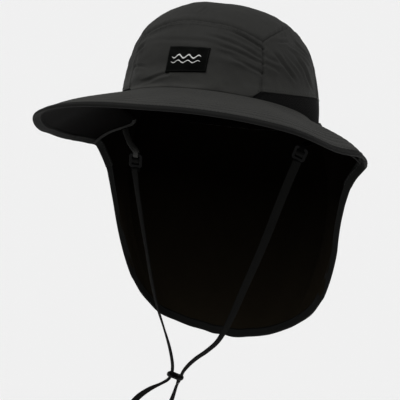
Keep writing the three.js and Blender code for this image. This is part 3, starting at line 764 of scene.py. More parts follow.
@dataclass(frozen=True)
class Nodes:
    """A material's node tree, with short ways to add and join nodes."""

    material: Material

    def add(self, kind: str, **values: object) -> bpy.types.Node:
        """A node of one kind, with its properties and input values set."""
        node = self.material.node_tree.nodes.new(kind)
        for key, value in values.items():
            if hasattr(node, key):
                setattr(node, key, value)
            else:
                node.inputs[key].default_value = value
        return node

    def join(self, start: Socket, end: Socket) -> None:
        """Links one socket to another."""
        self.material.node_tree.links.new(start, end)

    def math(self, operation: str, a: Socket | float, b: Socket | float = 0.0) -> Socket:
        """Result of a sum of two sockets or numbers."""
        node = self.add("ShaderNodeMath", operation=operation)
        for socket, value in zip(node.inputs, (a, b)):
            if isinstance(value, Socket):
                self.join(value, socket)
            else:
                socket.default_value = value
        return node.outputs[0]

    def times(self, a: Socket | float, b: Socket | float) -> Socket:
        """Product of two sockets or numbers."""
        return self.math("MULTIPLY", a, b)

    def plus(self, *terms: Socket | float) -> Socket:
        """Sum of sockets or numbers."""
        total = terms[0]
        for term in terms[1:]:
            total = self.math("ADD", total, term)
        return total

    def noise(self, scale: float, detail: float, roughness: float = 0.5,
              distortion: float = 0.0) -> Socket:
        """Noise on the object's own coordinates."""
        place = self.add("ShaderNodeTexCoord")
        node = self.add("ShaderNodeTexNoise", Scale=scale, Detail=detail, Roughness=roughness,
                        Distortion=distortion)
        self.join(place.outputs["Object"], node.inputs["Vector"])
        return node.outputs[0]

    def mix(self, share: Socket, a: Colour, b: Colour) -> Socket:
        """A colour between two colours, or past them where the share is past 0 or 1."""
        node = self.add("ShaderNodeMix", data_type="RGBA", clamp_factor=False)
        self.join(share, node.inputs[0])
        node.inputs[6].default_value = (*a, 1.0)
        node.inputs[7].default_value = (*b, 1.0)
        return node.outputs[2]

    def bump(self, height: Socket, shader: bpy.types.Node, strength: float = 1.0,
             distance: float = MM) -> None:
        """Gives the shader a fine relief."""
        node = self.add("ShaderNodeBump", Strength=strength, Distance=distance)
        self.join(height, node.inputs["Height"])
        self.join(node.outputs[0], shader.inputs["Normal"])


def started(name: str, roughness: float, specular: float,
            sheen: float = 0.0) -> tuple[Nodes, bpy.types.Node]:
    """A new material with its shader."""
    material = bpy.data.materials.new(name)
    material.use_nodes = True
    shader = material.node_tree.nodes["Principled BSDF"]
    shader.inputs["Roughness"].default_value = roughness
    shader.inputs["Specular IOR Level"].default_value = specular
    shader.inputs["Sheen Weight"].default_value = sheen
    return Nodes(material), shader


@dataclass(frozen=True)
class WovenCloth:
    """Plain or ribbed cloth, woven on its own surface map.

    Attributes:
        dark: colour in the hollows of the weave and in the darker patches.
        light: colour of the threads.
        pitch: distance between threads, in millimetres.
        relief: height of the weave, in millimetres.
        rib: how much more the threads across show than those along, from 0 to 1.
        crumple: height of the fine creases, in millimetres.
        foot_light: how much lighter the cloth is painted near the lower edge of its map; painted light for
            the light bounced up from the brim onto the crown's foot.
        foot_height: how far up from that edge the painted light reaches, in millimetres.
        paler_hem: how much lighter it is painted down the flap; painted light for the light that reaches the
            flap's inside near its open hem.
        paler_from: where down the flap that painted light starts, as a share of the flap's drop.
    """

    name: str
    dark: Colour
    light: Colour
    pitch: float = 0.45
    relief: float = 0.05
    rib: float = 0.0
    roughness: float = 0.7
    specular: float = 0.08
    sheen: float = 0.02
    crumple: float = 0.12
    foot_light: float = 0.0
    foot_height: float = 26.0
    paler_hem: float = 0.0
    paler_from: float = 0.35

    def material(self) -> Material:
        """Builds the material."""
        nodes, shader = started(self.name, self.roughness, self.specular, self.sheen)
        shader.inputs["Sheen Roughness"].default_value = 0.45
        place = nodes.add("ShaderNodeTexCoord")
        split = nodes.add("ShaderNodeSeparateXYZ")
        nodes.join(place.outputs["UV"], split.inputs[0])
        across, up = split.outputs[0], split.outputs[1]
        turns = 2 * math.pi / (self.pitch * MM)
        warp, weft = (nodes.math("SINE", nodes.times(way, turns)) for way in (across, up))
        weave = nodes.plus(nodes.times(nodes.times(warp, weft), 1 - self.rib), nodes.times(warp, self.rib))
        weave = nodes.plus(nodes.times(weave, 0.5), 0.5)
        patches, fine = nodes.noise(38.0, 4.0, 0.55), nodes.noise(900.0, 2.0, 0.6)
        share = nodes.plus(nodes.times(weave, 0.35), nodes.times(patches, 0.45), nodes.times(fine, 0.2))
        # Painted light: a lighter band along the foot of the map, standing in for light bounced up from the
        # brim.
        if self.foot_light:
            foot = nodes.math("SUBTRACT", 1.0, nodes.times(up, 1 / (self.foot_height * MM)))
            share = nodes.plus(share, nodes.times(nodes.math("MAXIMUM", foot, 0.0), self.foot_light))
        # Painted light: paler down the flap's inside, where more light reaches near the open hem.
        if self.paler_hem:
            fall = nodes.math("SUBTRACT", nodes.times(up, 1 / (FORM.flap_drop * MM)), self.paler_from)
            share = nodes.plus(share, nodes.times(nodes.math("MAXIMUM", fall, 0.0), self.paler_hem))
        nodes.join(nodes.mix(share, self.dark, self.light), shader.inputs["Base Color"])
        creases = nodes.noise(130.0, 5.0, 0.6, 0.8)
        height = nodes.plus(nodes.times(weave, self.relief), nodes.times(creases, self.crumple))
        nodes.bump(height, shader)
        return nodes.material


@dataclass(frozen=True)
class MouldedPlastic:
    """Dark moulded plastic with a fine eggshell skin and rubbed, paler patches."""

    name: str
    colour: Colour = (0.0022, 0.0022, 0.0022)
    rubbed: Colour = (0.006, 0.006, 0.006)
    roughness: float = 0.3
    specular: float = 0.06

    def material(self) -> Material:
        """Builds the material."""
        nodes, shader = started(self.name, self.roughness, self.specular)
        share = nodes.math("POWER", nodes.noise(260.0, 4.0), 2.5)
        nodes.join(nodes.mix(share, self.colour, self.rubbed), shader.inputs["Base Color"])
        nodes.bump(nodes.noise(2600.0, 2.0), shader, 0.35, 0.05 * MM)
        return nodes.material


@dataclass(frozen=True)
class Thread:
    """Twisted sewing thread."""

    name: str
    colour: Colour
    roughness: float = 0.6
    specular: float = 0.1
    contrast: float = 0.3

    def material(self) -> Material:
        """Builds the material."""
        nodes, shader = started(self.name, self.roughness, self.specular, 0.02)
        dark, light = (
            tuple(part * (1 + sign * self.contrast) for part in self.colour) for sign in (-1, 1)
        )
        nodes.join(nodes.mix(nodes.noise(3000.0, 2.0), dark, light), shader.inputs["Base Color"])
        return nodes.material


SHELL = WovenCloth("charcoal_shell_cloth", (0.019, 0.019, 0.018), (0.0405, 0.0405, 0.038))
BLACK = WovenCloth("black_lining_cloth", (0.0008, 0.0007, 0.0006), (0.002, 0.0017, 0.0016),
                   roughness=0.85, specular=0.01, sheen=0.0)
TAPE = WovenCloth("edge_tape", (0.006, 0.006, 0.0058), (0.0135, 0.0135, 0.013), pitch=0.7,
                  relief=0.12, rib=0.75, specular=0.05, sheen=0.0, crumple=0.05)
WEBBING = WovenCloth("cord_webbing", (0.0036, 0.0036, 0.0035), (0.0105, 0.0105, 0.01), pitch=0.9,
                     relief=0.16, rib=0.5, roughness=0.75, specular=0.02, sheen=0.0, crumple=0.04)


class Finishes:
    """The hat's materials, made once each."""

    def __init__(self) -> None:
        self.shell = SHELL.material()
        # A copy of the shell cloth with painted light along its foot, for the crown's panels.
        self.shell_lit_foot = replace(SHELL, name="foot_lit_shell_cloth", foot_light=1.3).material()
        # A lighter copy of the shell cloth for the brim: painted light, as the brim faces up into the light.
        self.shell_brim = replace(
            SHELL, name="lit_brim_shell_cloth", dark=(0.0252, 0.0252, 0.0238), light=(0.0535, 0.0535, 0.0503),
        ).material()
        self.net = replace(
            SHELL, name="vent_net_thread", dark=(0.015, 0.015, 0.015), light=(0.033, 0.033, 0.033),
            pitch=0.3, relief=0.03, specular=0.05, sheen=0.0,
        ).material()
        self.lining = BLACK.material()
        self.underside = replace(
            BLACK, name="brim_underside_cloth", dark=(0.001, 0.0009, 0.0008),
            light=(0.0021, 0.0019, 0.0018), roughness=0.7, specular=0.02,
        ).material()
        # The flap's inside, with painted light growing toward its hem.
        self.flap_lining = replace(
            BLACK, name="flap_lining_cloth", dark=(0.0006, 0.0004, 0.0003),
            light=(0.0016, 0.0012, 0.0008), paler_hem=12.0,
        ).material()
        self.tape = TAPE.material()
        self.flap_tape = replace(
            TAPE, name="flap_tape", dark=(0.0056, 0.0058, 0.0055), light=(0.0138, 0.0142, 0.0136),
            specular=0.04,
        ).material()
        self.piping = replace(
            TAPE, name="seam_piping", dark=(0.013, 0.013, 0.0125), light=(0.03, 0.03, 0.029),
            relief=0.1, rib=0.6, specular=0.04,
        ).material()
        self.webbing = WEBBING.material()
        self.tab_webbing = replace(
            WEBBING, name="tab_webbing", dark=(0.027, 0.027, 0.0255), light=(0.062, 0.062, 0.059),
            roughness=0.7, specular=0.05,
        ).material()
        # A black copy of the tab webbing for the left tab: painted shade, as that tab hangs in shadow under
        # the brim.
        self.shaded_tab = replace(
            WEBBING, name="shaded_tab_webbing", dark=(0.0008, 0.0008, 0.0008), light=(0.002, 0.002, 0.002),
            roughness=0.7, specular=0.01,
        ).material()
        self.label = WovenCloth(
            "label_satin", (0.001, 0.0012, 0.001), (0.003, 0.0034, 0.003), pitch=0.28, relief=0.04,
            rib=0.6, roughness=0.5, specular=0.03, sheen=0.0, crumple=0.02,
        ).material()
        self.plastic = MouldedPlastic("moulded_black_plastic").material()
        self.slider_plastic = MouldedPlastic("slider_plastic", specular=0.16).material()
        self.shell_thread = Thread("shell_thread", (0.03, 0.03, 0.0285)).material()
        self.dark_thread = Thread("dark_thread", (0.009, 0.009, 0.009)).material()
        self.pale_thread = Thread("pale_thread", (0.8, 0.8, 0.78)).material()


# What repeats along a seam or over a vent


@dataclass
class NodeTree:
    """A Geometry Nodes tree that is run once on a piece and then baked."""

    name: str
    tree: bpy.types.NodeTree = field(init=False)
    inputs: dict[str, str] = field(init=False, default_factory=dict)

    def __post_init__(self) -> None:
        self.tree = bpy.data.node_groups.new(self.name, "GeometryNodeTree")
        self.tree.interface.new_socket(name="Geometry", in_out="INPUT", socket_type="NodeSocketGeometry")
        self.tree.interface.new_socket(name="Geometry", in_out="OUTPUT", socket_type="NodeSocketGeometry")
        self.start = self.tree.nodes.new("NodeGroupInput")
        self.end = self.tree.nodes.new("NodeGroupOutput")

    def number(self, name: str) -> None:
        """Adds a named input for a length, in metres."""
        socket = self.tree.interface.new_socket(name=name, in_out="INPUT", socket_type="NodeSocketFloat")
        self.inputs[name] = socket.identifier

    def add(self, kind: str, **links: object) -> bpy.types.Node:
        """A node whose inputs are set or joined by name."""
        node = self.tree.nodes.new(kind)
        for key, value in links.items():
            if hasattr(node, key):
                setattr(node, key, value)
                continue
            socket = next(s for s in node.inputs if s.name == key.replace("_", " ") and s.enabled)
            if isinstance(value, Socket):
                self.tree.links.new(value, socket)
            else:
                socket.default_value = value
        return node

    def close(self, geometry: Socket, material: Material) -> None:
        """Realizes the instances, gives them their material and ends the tree."""
        real = self.add("GeometryNodeRealizeInstances", Geometry=geometry)
        smooth_faces = self.add("GeometryNodeSetShadeSmooth", Geometry=real.outputs[0])
        done = self.add("GeometryNodeSetMaterial", Geometry=smooth_faces.outputs[0], Material=material)
        self.tree.links.new(done.outputs[0], self.end.inputs[0])

    def run(self, item: Item, **lengths: float) -> Item:
        """Runs the tree on an object and keeps the result as its mesh.

        Args:
            item: the object with the tree's start geometry.
            lengths: value of each named input, in millimetres.

        Returns:
            The same object with a plain mesh.
        """
        modifier = item.modifiers.new(self.name, "NODES")
        modifier.node_group = self.tree
        for key, value in lengths.items():
            modifier[self.inputs[key]] = value * MM
        return plain_mesh(item)


class Stitching(NodeTree):
    """Rows of stitches along lines: one long bead of thread for each stitch."""

    def __init__(self, name: str, thread: Material) -> None:
        super().__init__(name)
        for key in ("Spacing", "Length", "Thickness"):
            self.number(key)
        given = self.start.outputs
        line = self.add("GeometryNodeMeshToCurve", Mesh=given[0])
        even = self.add("GeometryNodeResampleCurve", mode="LENGTH", Curve=line.outputs[0],
                        Length=given["Spacing"])
        bead = self.add("GeometryNodeMeshUVSphere", Segments=6, Rings=4, Radius=1.0)
        size = self.add("ShaderNodeCombineXYZ", X=given["Length"], Y=given["Thickness"],
                        Z=given["Thickness"])
        along = self.add("GeometryNodeInputTangent")
        turn = self.add("FunctionNodeAlignRotationToVector", axis="X", Vector=along.outputs[0])
        beads = self.add("GeometryNodeInstanceOnPoints", Points=even.outputs[0],
                         Instance=bead.outputs[0], Rotation=turn.outputs[0], Scale=size.outputs[0])
        self.close(beads.outputs[0], thread)

    def sew(self, name: str, lines: Iterable[Array], spacing: float = 3.0, length: float = 1.15,
            thickness: float = 0.26) -> Item:
        """Stitches along lines.

        Args:
            name: the piece's name.
            lines: points of each line, in millimetres.
            spacing: distance from stitch to stitch.
            length: half the length of a stitch.
            thickness: half the thickness of the thread.

        Returns:
            The stitches as one mesh.
        """
        points, edges, start = [], [], 0
        for line in lines:
            points.append(line)
            edges += [(start + k, start + k + 1) for k in range(len(line) - 1)]
            start += len(line)
        mesh = bpy.data.meshes.new(name)
        mesh.from_pydata((np.vstack(points) * MM).tolist(), edges, [])
        return self.run(linked(name, mesh), Spacing=spacing, Length=length, Thickness=thickness)


@dataclass(frozen=True)
class FoldedTape:
    """A tape folded over an edge and stitched down on both sides, in millimetres.

    Attributes:
        thinner: how much thinner its border is.
        inset: distance of the stitches from the border.
        steps: rings of points across one side.
    """

    width: float
    half: float
    thinner: float
    inset: float
    steps: int = 7

    def strip(self, name: str, edge: Array, way: Array, normal: Array) -> Item:
        """The tape.

        Args:
            name: the piece's name.
            edge: points of the edge that it is folded over.
            way: direction in from the edge at each point.
            normal: direction out of the cloth at each point.

        Returns:
            The tape, without a material yet.
        """
        a = np.linspace(-np.pi / 2, np.pi / 2, 9)
        nose = np.stack([self.half - self.half * np.cos(a), self.half * np.sin(a)], 1)
        deep = np.linspace(self.half, self.width, self.steps)[1:]
        top = np.stack([deep, np.where(deep > self.width - 0.1, self.half - self.thinner, self.half)], 1)
        section = np.vstack([top[::-1] * np.array([1, -1]), nose, top])
        return sweep(name, edge, way, normal, section)

    def stitches(self, name: str, seam: Stitching, edge: Array, way: Array,
                 normal: Array) -> Item:
        """The row of stitches along the tape's border on each side."""
        inside = edge + way * (self.width - self.inset)
        lines = [inside + normal * sign * (self.half + 0.05) for sign in (1, -1)]
        return seam.sew(name, lines, 2.8, 1.05, 0.22)


class Netting(NodeTree):
    """Open net: the cells round the corners of a triangle mesh, drawn in round thread."""

    def __init__(self, thread: Material) -> None:
        super().__init__("vent_netting")
        self.number("Thread")
        cells = self.add("GeometryNodeDualMesh", Mesh=self.start.outputs[0])
        lines = self.add("GeometryNodeMeshToCurve", Mesh=cells.outputs[0])
        profile = self.add("GeometryNodeCurvePrimitiveCircle", Resolution=5,
                           Radius=self.start.outputs["Thread"])
        tubes = self.add("GeometryNodeCurveToMesh", Curve=lines.outputs[0], Profile_Curve=profile.outputs[0])
        tubes.inputs["Fill Caps"].default_value = True
        self.close(tubes.outputs[0], thread)


# The crown


@dataclass(frozen=True)
class Crease:
    """A crease in the crown's cloth.

    Attributes:
        line: its points, as turn in degrees and height in millimetres.
        wide: half width in millimetres.
        deep: depth in millimetres, below zero for a raised fold.
        open_end: whether it runs into a seam at its last point instead of fading.
    """

    line: tuple[Pair, ...]
    wide: float
    deep: float
    open_end: bool = False

    def relief(self, points: Array) -> Array:
        """How far it moves points of the crown outward."""
        places = np.array(self.line, float)
        route = FORM.crown(places[:, 0], places[:, 1] / FORM.crown_height)
        lengths = np.linalg.norm(np.diff(route, axis=0), axis=1)
        starts = np.concatenate([[0], np.cumsum(lengths)])
        best = np.full(points.shape[:-1], 1e9)
        along = np.zeros(points.shape[:-1])
        for k, (a, b) in enumerate(zip(route[:-1], route[1:], strict=True)):
            t = np.clip(((points - a) @ (b - a)) / lengths[k] ** 2, 0, 1)
            away = np.linalg.norm(points - a - t[..., None] * (b - a), axis=-1)
            near = away < best
            best = np.where(near, away, best)
            along = np.where(near, (starts[k] + t * lengths[k]) / starts[-1], along)
        fade = np.clip(along / 0.3, 0, 1)
        if not self.open_end:
            fade = fade * np.clip((1 - along) / 0.3, 0, 1)
        fade = fade * fade * (3 - 2 * fade)
        ridge = hill(best - 2.1 * self.wide, 1.1 * self.wide)
        return -self.deep * fade * (hill(best, self.wide) - 0.5 * ridge)


CREASES = (
    Crease(((20.5, 58.0), (29.9, 54.8), (39.3, 50.0), (45.0, 46.1)), 1.2, 1.3, True),
    Crease(((5.0, 50.5), (21.3, 47.4), (30.4, 44.1), (37.7, 40.7), (44.8, 35.9)), 1.4, 1.0, True),
    Crease(((14.0, 42.0), (24.8, 39.7), (33.7, 36.6), (44.8, 32.2)), 1.2, 0.9, True),
    Crease(((24.0, 32.5), (29.4, 30.7), (35.9, 27.7), (44.8, 23.5)), 1.3, 1.0, True),
    Crease(((14.9, 35.5), (25.2, 34.2), (36.9, 30.0)), 2.4, 0.6),
    Crease(((49.0, 48.0), (55.4, 40.6), (62.2, 33.2), (71.2, 23.1)), 1.8, 1.7),
    Crease(((66.0, 53.0), (74.5, 42.7), (80.9, 33.3), (88.6, 24.2)), 2.1, 1.7),
    Crease(((60.0, 59.0), (64.7, 55.5), (75.1, 52.2), (89.3, 44.6)), 1.8, -1.1),
    Crease(((58.0, 47.0), (66.0, 39.0), (75.0, 30.0)), 1.6, -0.9),
    Crease(((58.0, 28.0), (52.6, 31.0), (45.2, 33.2)), 1.5, 0.8, True),
    Crease(((60.0, 36.0), (52.6, 37.5), (45.2, 39.5)), 1.5, 0.7, True),
    Crease(((53.3, 55.8), (60.5, 58.7), (68.8, 62.7)), 1.4, 0.9),
    Crease(((72.0, 66.0), (80.0, 60.0), (92.0, 52.0)), 1.7, 1.1),
    Crease(((-45.5, 36.5), (-40.0, 39.0), (-33.8, 41.9)), 1.9, 1.5),
    Crease(((-46.0, 22.0), (-40.4, 22.2), (-32.2, 21.1), (-25.0, 19.0)), 1.2, 0.9),
    Crease(((-33.7, 5.5), (-23.1, 7.0), (-15.8, 10.2), (-9.0, 12.6)), 1.3, 0.75, True),
    Crease(((-47.0, 34.0), (-44.0, 27.0), (-43.0, 18.0)), 1.6, 1.4),
    Crease(((-36.0, 45.2), (-12.5, 43.8), (4.0, 43.9), (22.0, 42.8)), 2.0, 0.5),
    Crease(((0.5, 71.0), (1.8, 76.0), (3.0, 82.0)), 1.3, 0.8),
    Crease(((5.5, 71.5), (4.8, 77.0), (6.0, 82.0)), 1.2, 0.6),
    Crease(((-38.0, 53.6), (-24.9, 58.2), (-10.0, 63.0)), 2.2, -0.6),
    Crease(((-56.0, 60.0), (-66.0, 50.0), (-80.0, 38.0)), 2.2, 1.5),
    Crease(((-58.0, 44.0), (-66.0, 36.0), (-78.0, 28.0)), 2.0, 1.2),
    Crease(((112.0, 14.0), (128.0, 30.0), (140.0, 52.0)), 3.0, 1.5),
    Crease(((-108.0, 20.0), (-122.0, 38.0), (-134.0, 56.0)), 3.0, 1.4),
    Crease(((165.0, 10.0), (176.0, 26.0), (192.0, 34.0)), 2.8, 1.2),
)


@dataclass(frozen=True)
class Gather:
    """Small uneven puckers beside a seam: two waves, the first with a drift, in millimetres."""

    short: float
    drift: float
    sway: float
    long: float
    share: float
    start: float

    def at(self, along: Array) -> Array:
        """Height of the puckers at lengths along the seam."""
        first = np.sin(along / self.short + self.drift * np.sin(along / self.sway))
        return first + self.share * np.sin(along / self.long + self.start)


@dataclass
class Crown:
    """The sewn crown: its panels, and the topstitching beside its seams.

    Attributes:
        pitch: distance between a panel's points.
        lap: how far a panel's edge reaches into its seam.
        border: width of a panel's rounded edge.
        fall: depth of a seam's groove.
        top_gather: puckers along the top seam.
        side_gather: puckers along the side seams.
    """

    finishes: Finishes
    cloth: float = 1.5
    pitch: float = 1.1
    lap: float = 0.3
    border: float = 1.3
    fall: float = 0.8
    broad: Waves = field(default_factory=lambda: Waves(34.0, 3))
    fine: Waves = field(default_factory=lambda: Waves(9.5, 8, 20))
    top_gather: Gather = Gather(1.25, 1.4, 6.3, 2.3, 0.7, 2.0)
    side_gather: Gather = Gather(1.35, 1.7, 7.7, 2.6, 0.8, 1.0)

    def seam(self, away: Array, roll: float) -> Array:
        """Relief beside a seam: its groove, and a soft roll of some height next to it."""
        return roll * hill(away - 3.0, 1.6) - self.fall * hill(away, 1.3)

    def face(self, turn: Array, rise: Array) -> tuple[Array, Array]:
        """Outer face of the crown with its creases, and its normals."""
        base, normal = FORM.crown(turn, rise), FORM.crown_normal(turn, rise)
        turn = half_turn(turn)
        high = np.clip(rise, 0, 1) * FORM.crown_height
        share = FORM.share_at(rise)
        relief = sum(crease.relief(base) for crease in CREASES)
        relief = relief + 0.4 * self.broad.at(base) + 0.10 * self.fine.at(base)
        puckers = self.top_gather.at(np.radians(turn) * FORM.mean_radius)
        away = np.abs(rise - FORM.top_seam(turn)) * FORM.crown_height * (0.6 + 0.4 * share)
        relief = relief + 0.22 * puckers * np.exp(-away / 5.5) + self.seam(away, 0.3)
        below = np.clip((FORM.top_seam(turn) - rise) * FORM.crown_height / 4, 0, 1)
        puckers = self.side_gather.at(high)
        for seam in (FORM.front_seam_turn, FORM.back_seam_turn):
            away = np.radians(np.abs(np.abs(turn) - seam)) * FORM.mean_radius * share
            relief = relief + below * (0.2 * puckers * np.exp(-away / 5.0) + self.seam(away, 0.25))
        relief = relief * np.clip(high / 4, 0, 1) * np.clip(share / 0.12, 0, 1)
        return raised(base, normal, relief), normal

    def layers(self, turn: Array, rise: Array, full: Array) -> tuple[Array, Array]:
        """Outer and inner face of a panel, closer together where it isn't at full thickness."""
        point, normal = self.face(turn, rise)
        half = self.cloth / 2
        return raised(point, normal, half * (full - 1)), raised(point, normal, -half * (full + 1))

    def panel(self, name: str, turns: Pair, tall: float, node: str) -> None:
        """One panel between the brim or a vent and the top seam, with turned-in edges.

        Args:
            name: its name.
            turns: its first and last angle.
            tall: its greatest height in millimetres.
            node: the solid it stands for.
        """
        width = math.radians(turns[1] - turns[0]) * FORM.mean_radius
        ends = math.degrees(self.lap / FORM.mean_radius)
        across, up = self.border / width, self.border / tall
        u = graded(int(width / self.pitch), across)
        v = graded(int(tall / self.pitch), up)
        turn = (turns[0] - ends + (turns[1] - turns[0] + 2 * ends) * u)[:, None]
        low = FORM.vent_edge(turn)
        low = np.where(low > 0, low - self.lap / FORM.crown_height, 0)
        high = FORM.top_seam(turn) + self.lap / FORM.crown_height
        rise = low + (high - low) * v[None]
        turn = np.broadcast_to(turn, rise.shape)
        outer, inner = self.layers(turn, rise, rounded_border(u, across, v, up))
        item = wall(name, outer, inner, FORM.crown_map(turn, rise))
        # The panel's shell cloth carries painted light near its foot.
        sewn(item, "shell_cloth", node, cloths=(self.finishes.shell_lit_foot, self.finishes.lining))

    def top(self) -> None:
        """The top panel, from its seam in to the crown's top."""
        turn = np.linspace(0, 360, 361)[:-1][:, None]
        seam = FORM.share_at(FORM.top_seam(turn) - self.lap / FORM.crown_height)
        v = graded(64, 0.02)[:-3]
        share = seam * (1 - v[None]) + 0.02 * v[None]
        rise = FORM.rise_at(share)
        turn = np.broadcast_to(turn, rise.shape)
        full = np.broadcast_to(rounding(np.minimum(v, 0.5), 0.02)[None], rise.shape)
        outer, inner = self.layers(turn, rise, full)
        radius = share * FORM.mean_radius
        uvs = np.stack([np.sin(np.radians(turn)) * radius, np.cos(np.radians(turn)) * radius], -1)
        poles = (outer[:, -1].mean(0), inner[:, -1].mean(0))
        item = wall("crown_top", outer, inner, uvs, around=True, poles=poles)
        sewn(item, "shell_cloth", "crown_top_panel", cloths=(self.finishes.shell, self.finishes.lining))

    def row(self, turn: Array, rise: Array) -> Array:
        """A line just above the crown's cloth for a row of stitches."""
        return raised(*self.face(turn, rise), 0.03)

    def stitches(self) -> None:
        """Topstitching beside the crown's seams."""
        tall = FORM.crown_height
        front, back = np.linspace(-43.5, 43.5, 160), np.linspace(46.5, 313.5, 420)
        lines = [self.row(front, FORM.top_seam(front) - away / tall) for away in (2.2, 4.6)]
        lines.append(self.row(back, FORM.top_seam(back) - 2.2 / tall))
        lean = math.degrees(2.2 / FORM.mean_radius)
        for side in Side:
            for at in (FORM.front_seam_turn - lean, FORM.back_seam_turn + lean):
                ends = float(FORM.vent_edge(side.value * at)) + 0.02, float(FORM.top_seam(at)) - 0.02
                lines.append(self.row(np.full(60, side.value * at), np.linspace(*ends, 60)))
            turn = side.value * np.linspace(FORM.front_seam_turn + 1, FORM.vent_turns[-2], 110)
            lines.append(self.row(turn, FORM.vent_edge(turn) + 2.0 / tall))
        seam = Stitching("crown_stitching", self.finishes.shell_thread)
        sewn(seam.sew("crown_stitches", lines), "shell_cloth")

    def build(self) -> None:
        """Makes every piece of the crown."""
        front, back = FORM.front_seam_turn, FORM.back_seam_turn
        self.panel("crown_front", (-front, front), 64.0, "crown_front_panel")
        for side in Side:
            turns = (front, back) if side is Side.LEFT else (-back, -front)
            self.panel(f"crown_side_{side.word}", turns, 72.0, f"crown_side_panel_{side.word}")
            Vent(self.finishes, side).build()
        self.panel("crown_back", (back, 360 - back), 70.0, "crown_back_panel")
        self.top()
        FrontLabel(self.finishes, self).build()
        self.stitches()


@dataclass
class Vent:
    """The net wedge low on one side of the crown, in millimetres.

    Attributes:
        step: distance between the net's cells along a row.
        climb: distance from row to row.
        lap: how far the net runs on under the side panel.
        depths: depth of the net, and of the two faces of the black sheet of painted shade behind it, under
            the crown's face.
    """

    finishes: Finishes
    side: Side
    step: float = 1.25
    climb: float = 1.08
    rows: int = 24
    lap: float = 1.8
    thread: float = 0.17
    depths: tuple[float, float, float] = (1.0, 1.6, 2.0)

    @property
    def turns(self) -> Pair:
        """First and last angle of the vent, without the side's sign."""
        return FORM.vent_turns[1] - 1.5, FORM.vent_turns[-1]

    def lining(self) -> None:
        """A black sheet close behind the net: painted shade for the shaded inside of the crown seen through
        the vent.
        """
        first, last = self.turns
        u, v = graded(70, 0.01), graded(14, 0.05)
        turn = (first + (last - first) * u)[:, None] * self.side.value
        rise = (FORM.vent_edge(turn) + 2.5 / FORM.crown_height) * v[None]
        turn = np.broadcast_to(turn, rise.shape)
        base, normal = FORM.crown(turn, rise), FORM.crown_normal(turn, rise)
        outer, inner = (base - normal * depth for depth in self.depths[1:])
        item = wall(f"vent_lining_{self.side.word}", outer, inner, FORM.crown_map(turn, rise))
        sewn(item, "vent_mesh", cloths=(self.finishes.lining,) * 2)

    def net(self) -> None:
        """The net, drawn round the corners of a triangle mesh."""
        first, last = self.turns
        columns = int(math.radians(last - first) * FORM.mean_radius / self.step)
        numbers: dict[tuple[int, int], int] = {}
        places = []
        for i, j in itertools.product(range(columns + 1), range(self.rows)):
            angle = first + math.degrees((i + 0.5 * (j % 2)) * self.step / FORM.mean_radius)
            height = j * self.climb
            edge = float(FORM.vent_edge(self.side.value * angle)) * FORM.crown_height
            if angle <= last and height <= edge + self.lap:
                numbers[i, j] = len(places)
                places.append((angle * self.side.value, height / FORM.crown_height))
        faces = []
        for i, j in numbers:
            here, above = (i, j), (i + j % 2, j + 1)
            for corners in ((here, (i + 1, j), above), (here, above, (above[0] - 1, j + 1))):
                if all(corner in numbers for corner in corners):
                    faces.append([numbers[corner] for corner in corners])
        turn, rise = np.array(places).T
        points = FORM.crown(turn, rise) - self.depths[0] * FORM.crown_normal(turn, rise)
        item = new_object(f"vent_net_{self.side.word}", points, faces)
        Netting(self.finishes.net).run(item, Thread=self.thread)
        sewn(item, "vent_mesh", f"mesh_vent_{self.side.word}")

    def build(self) -> None:
        """Makes the black sheet of painted shade and the net."""
        self.lining()
        self.net()


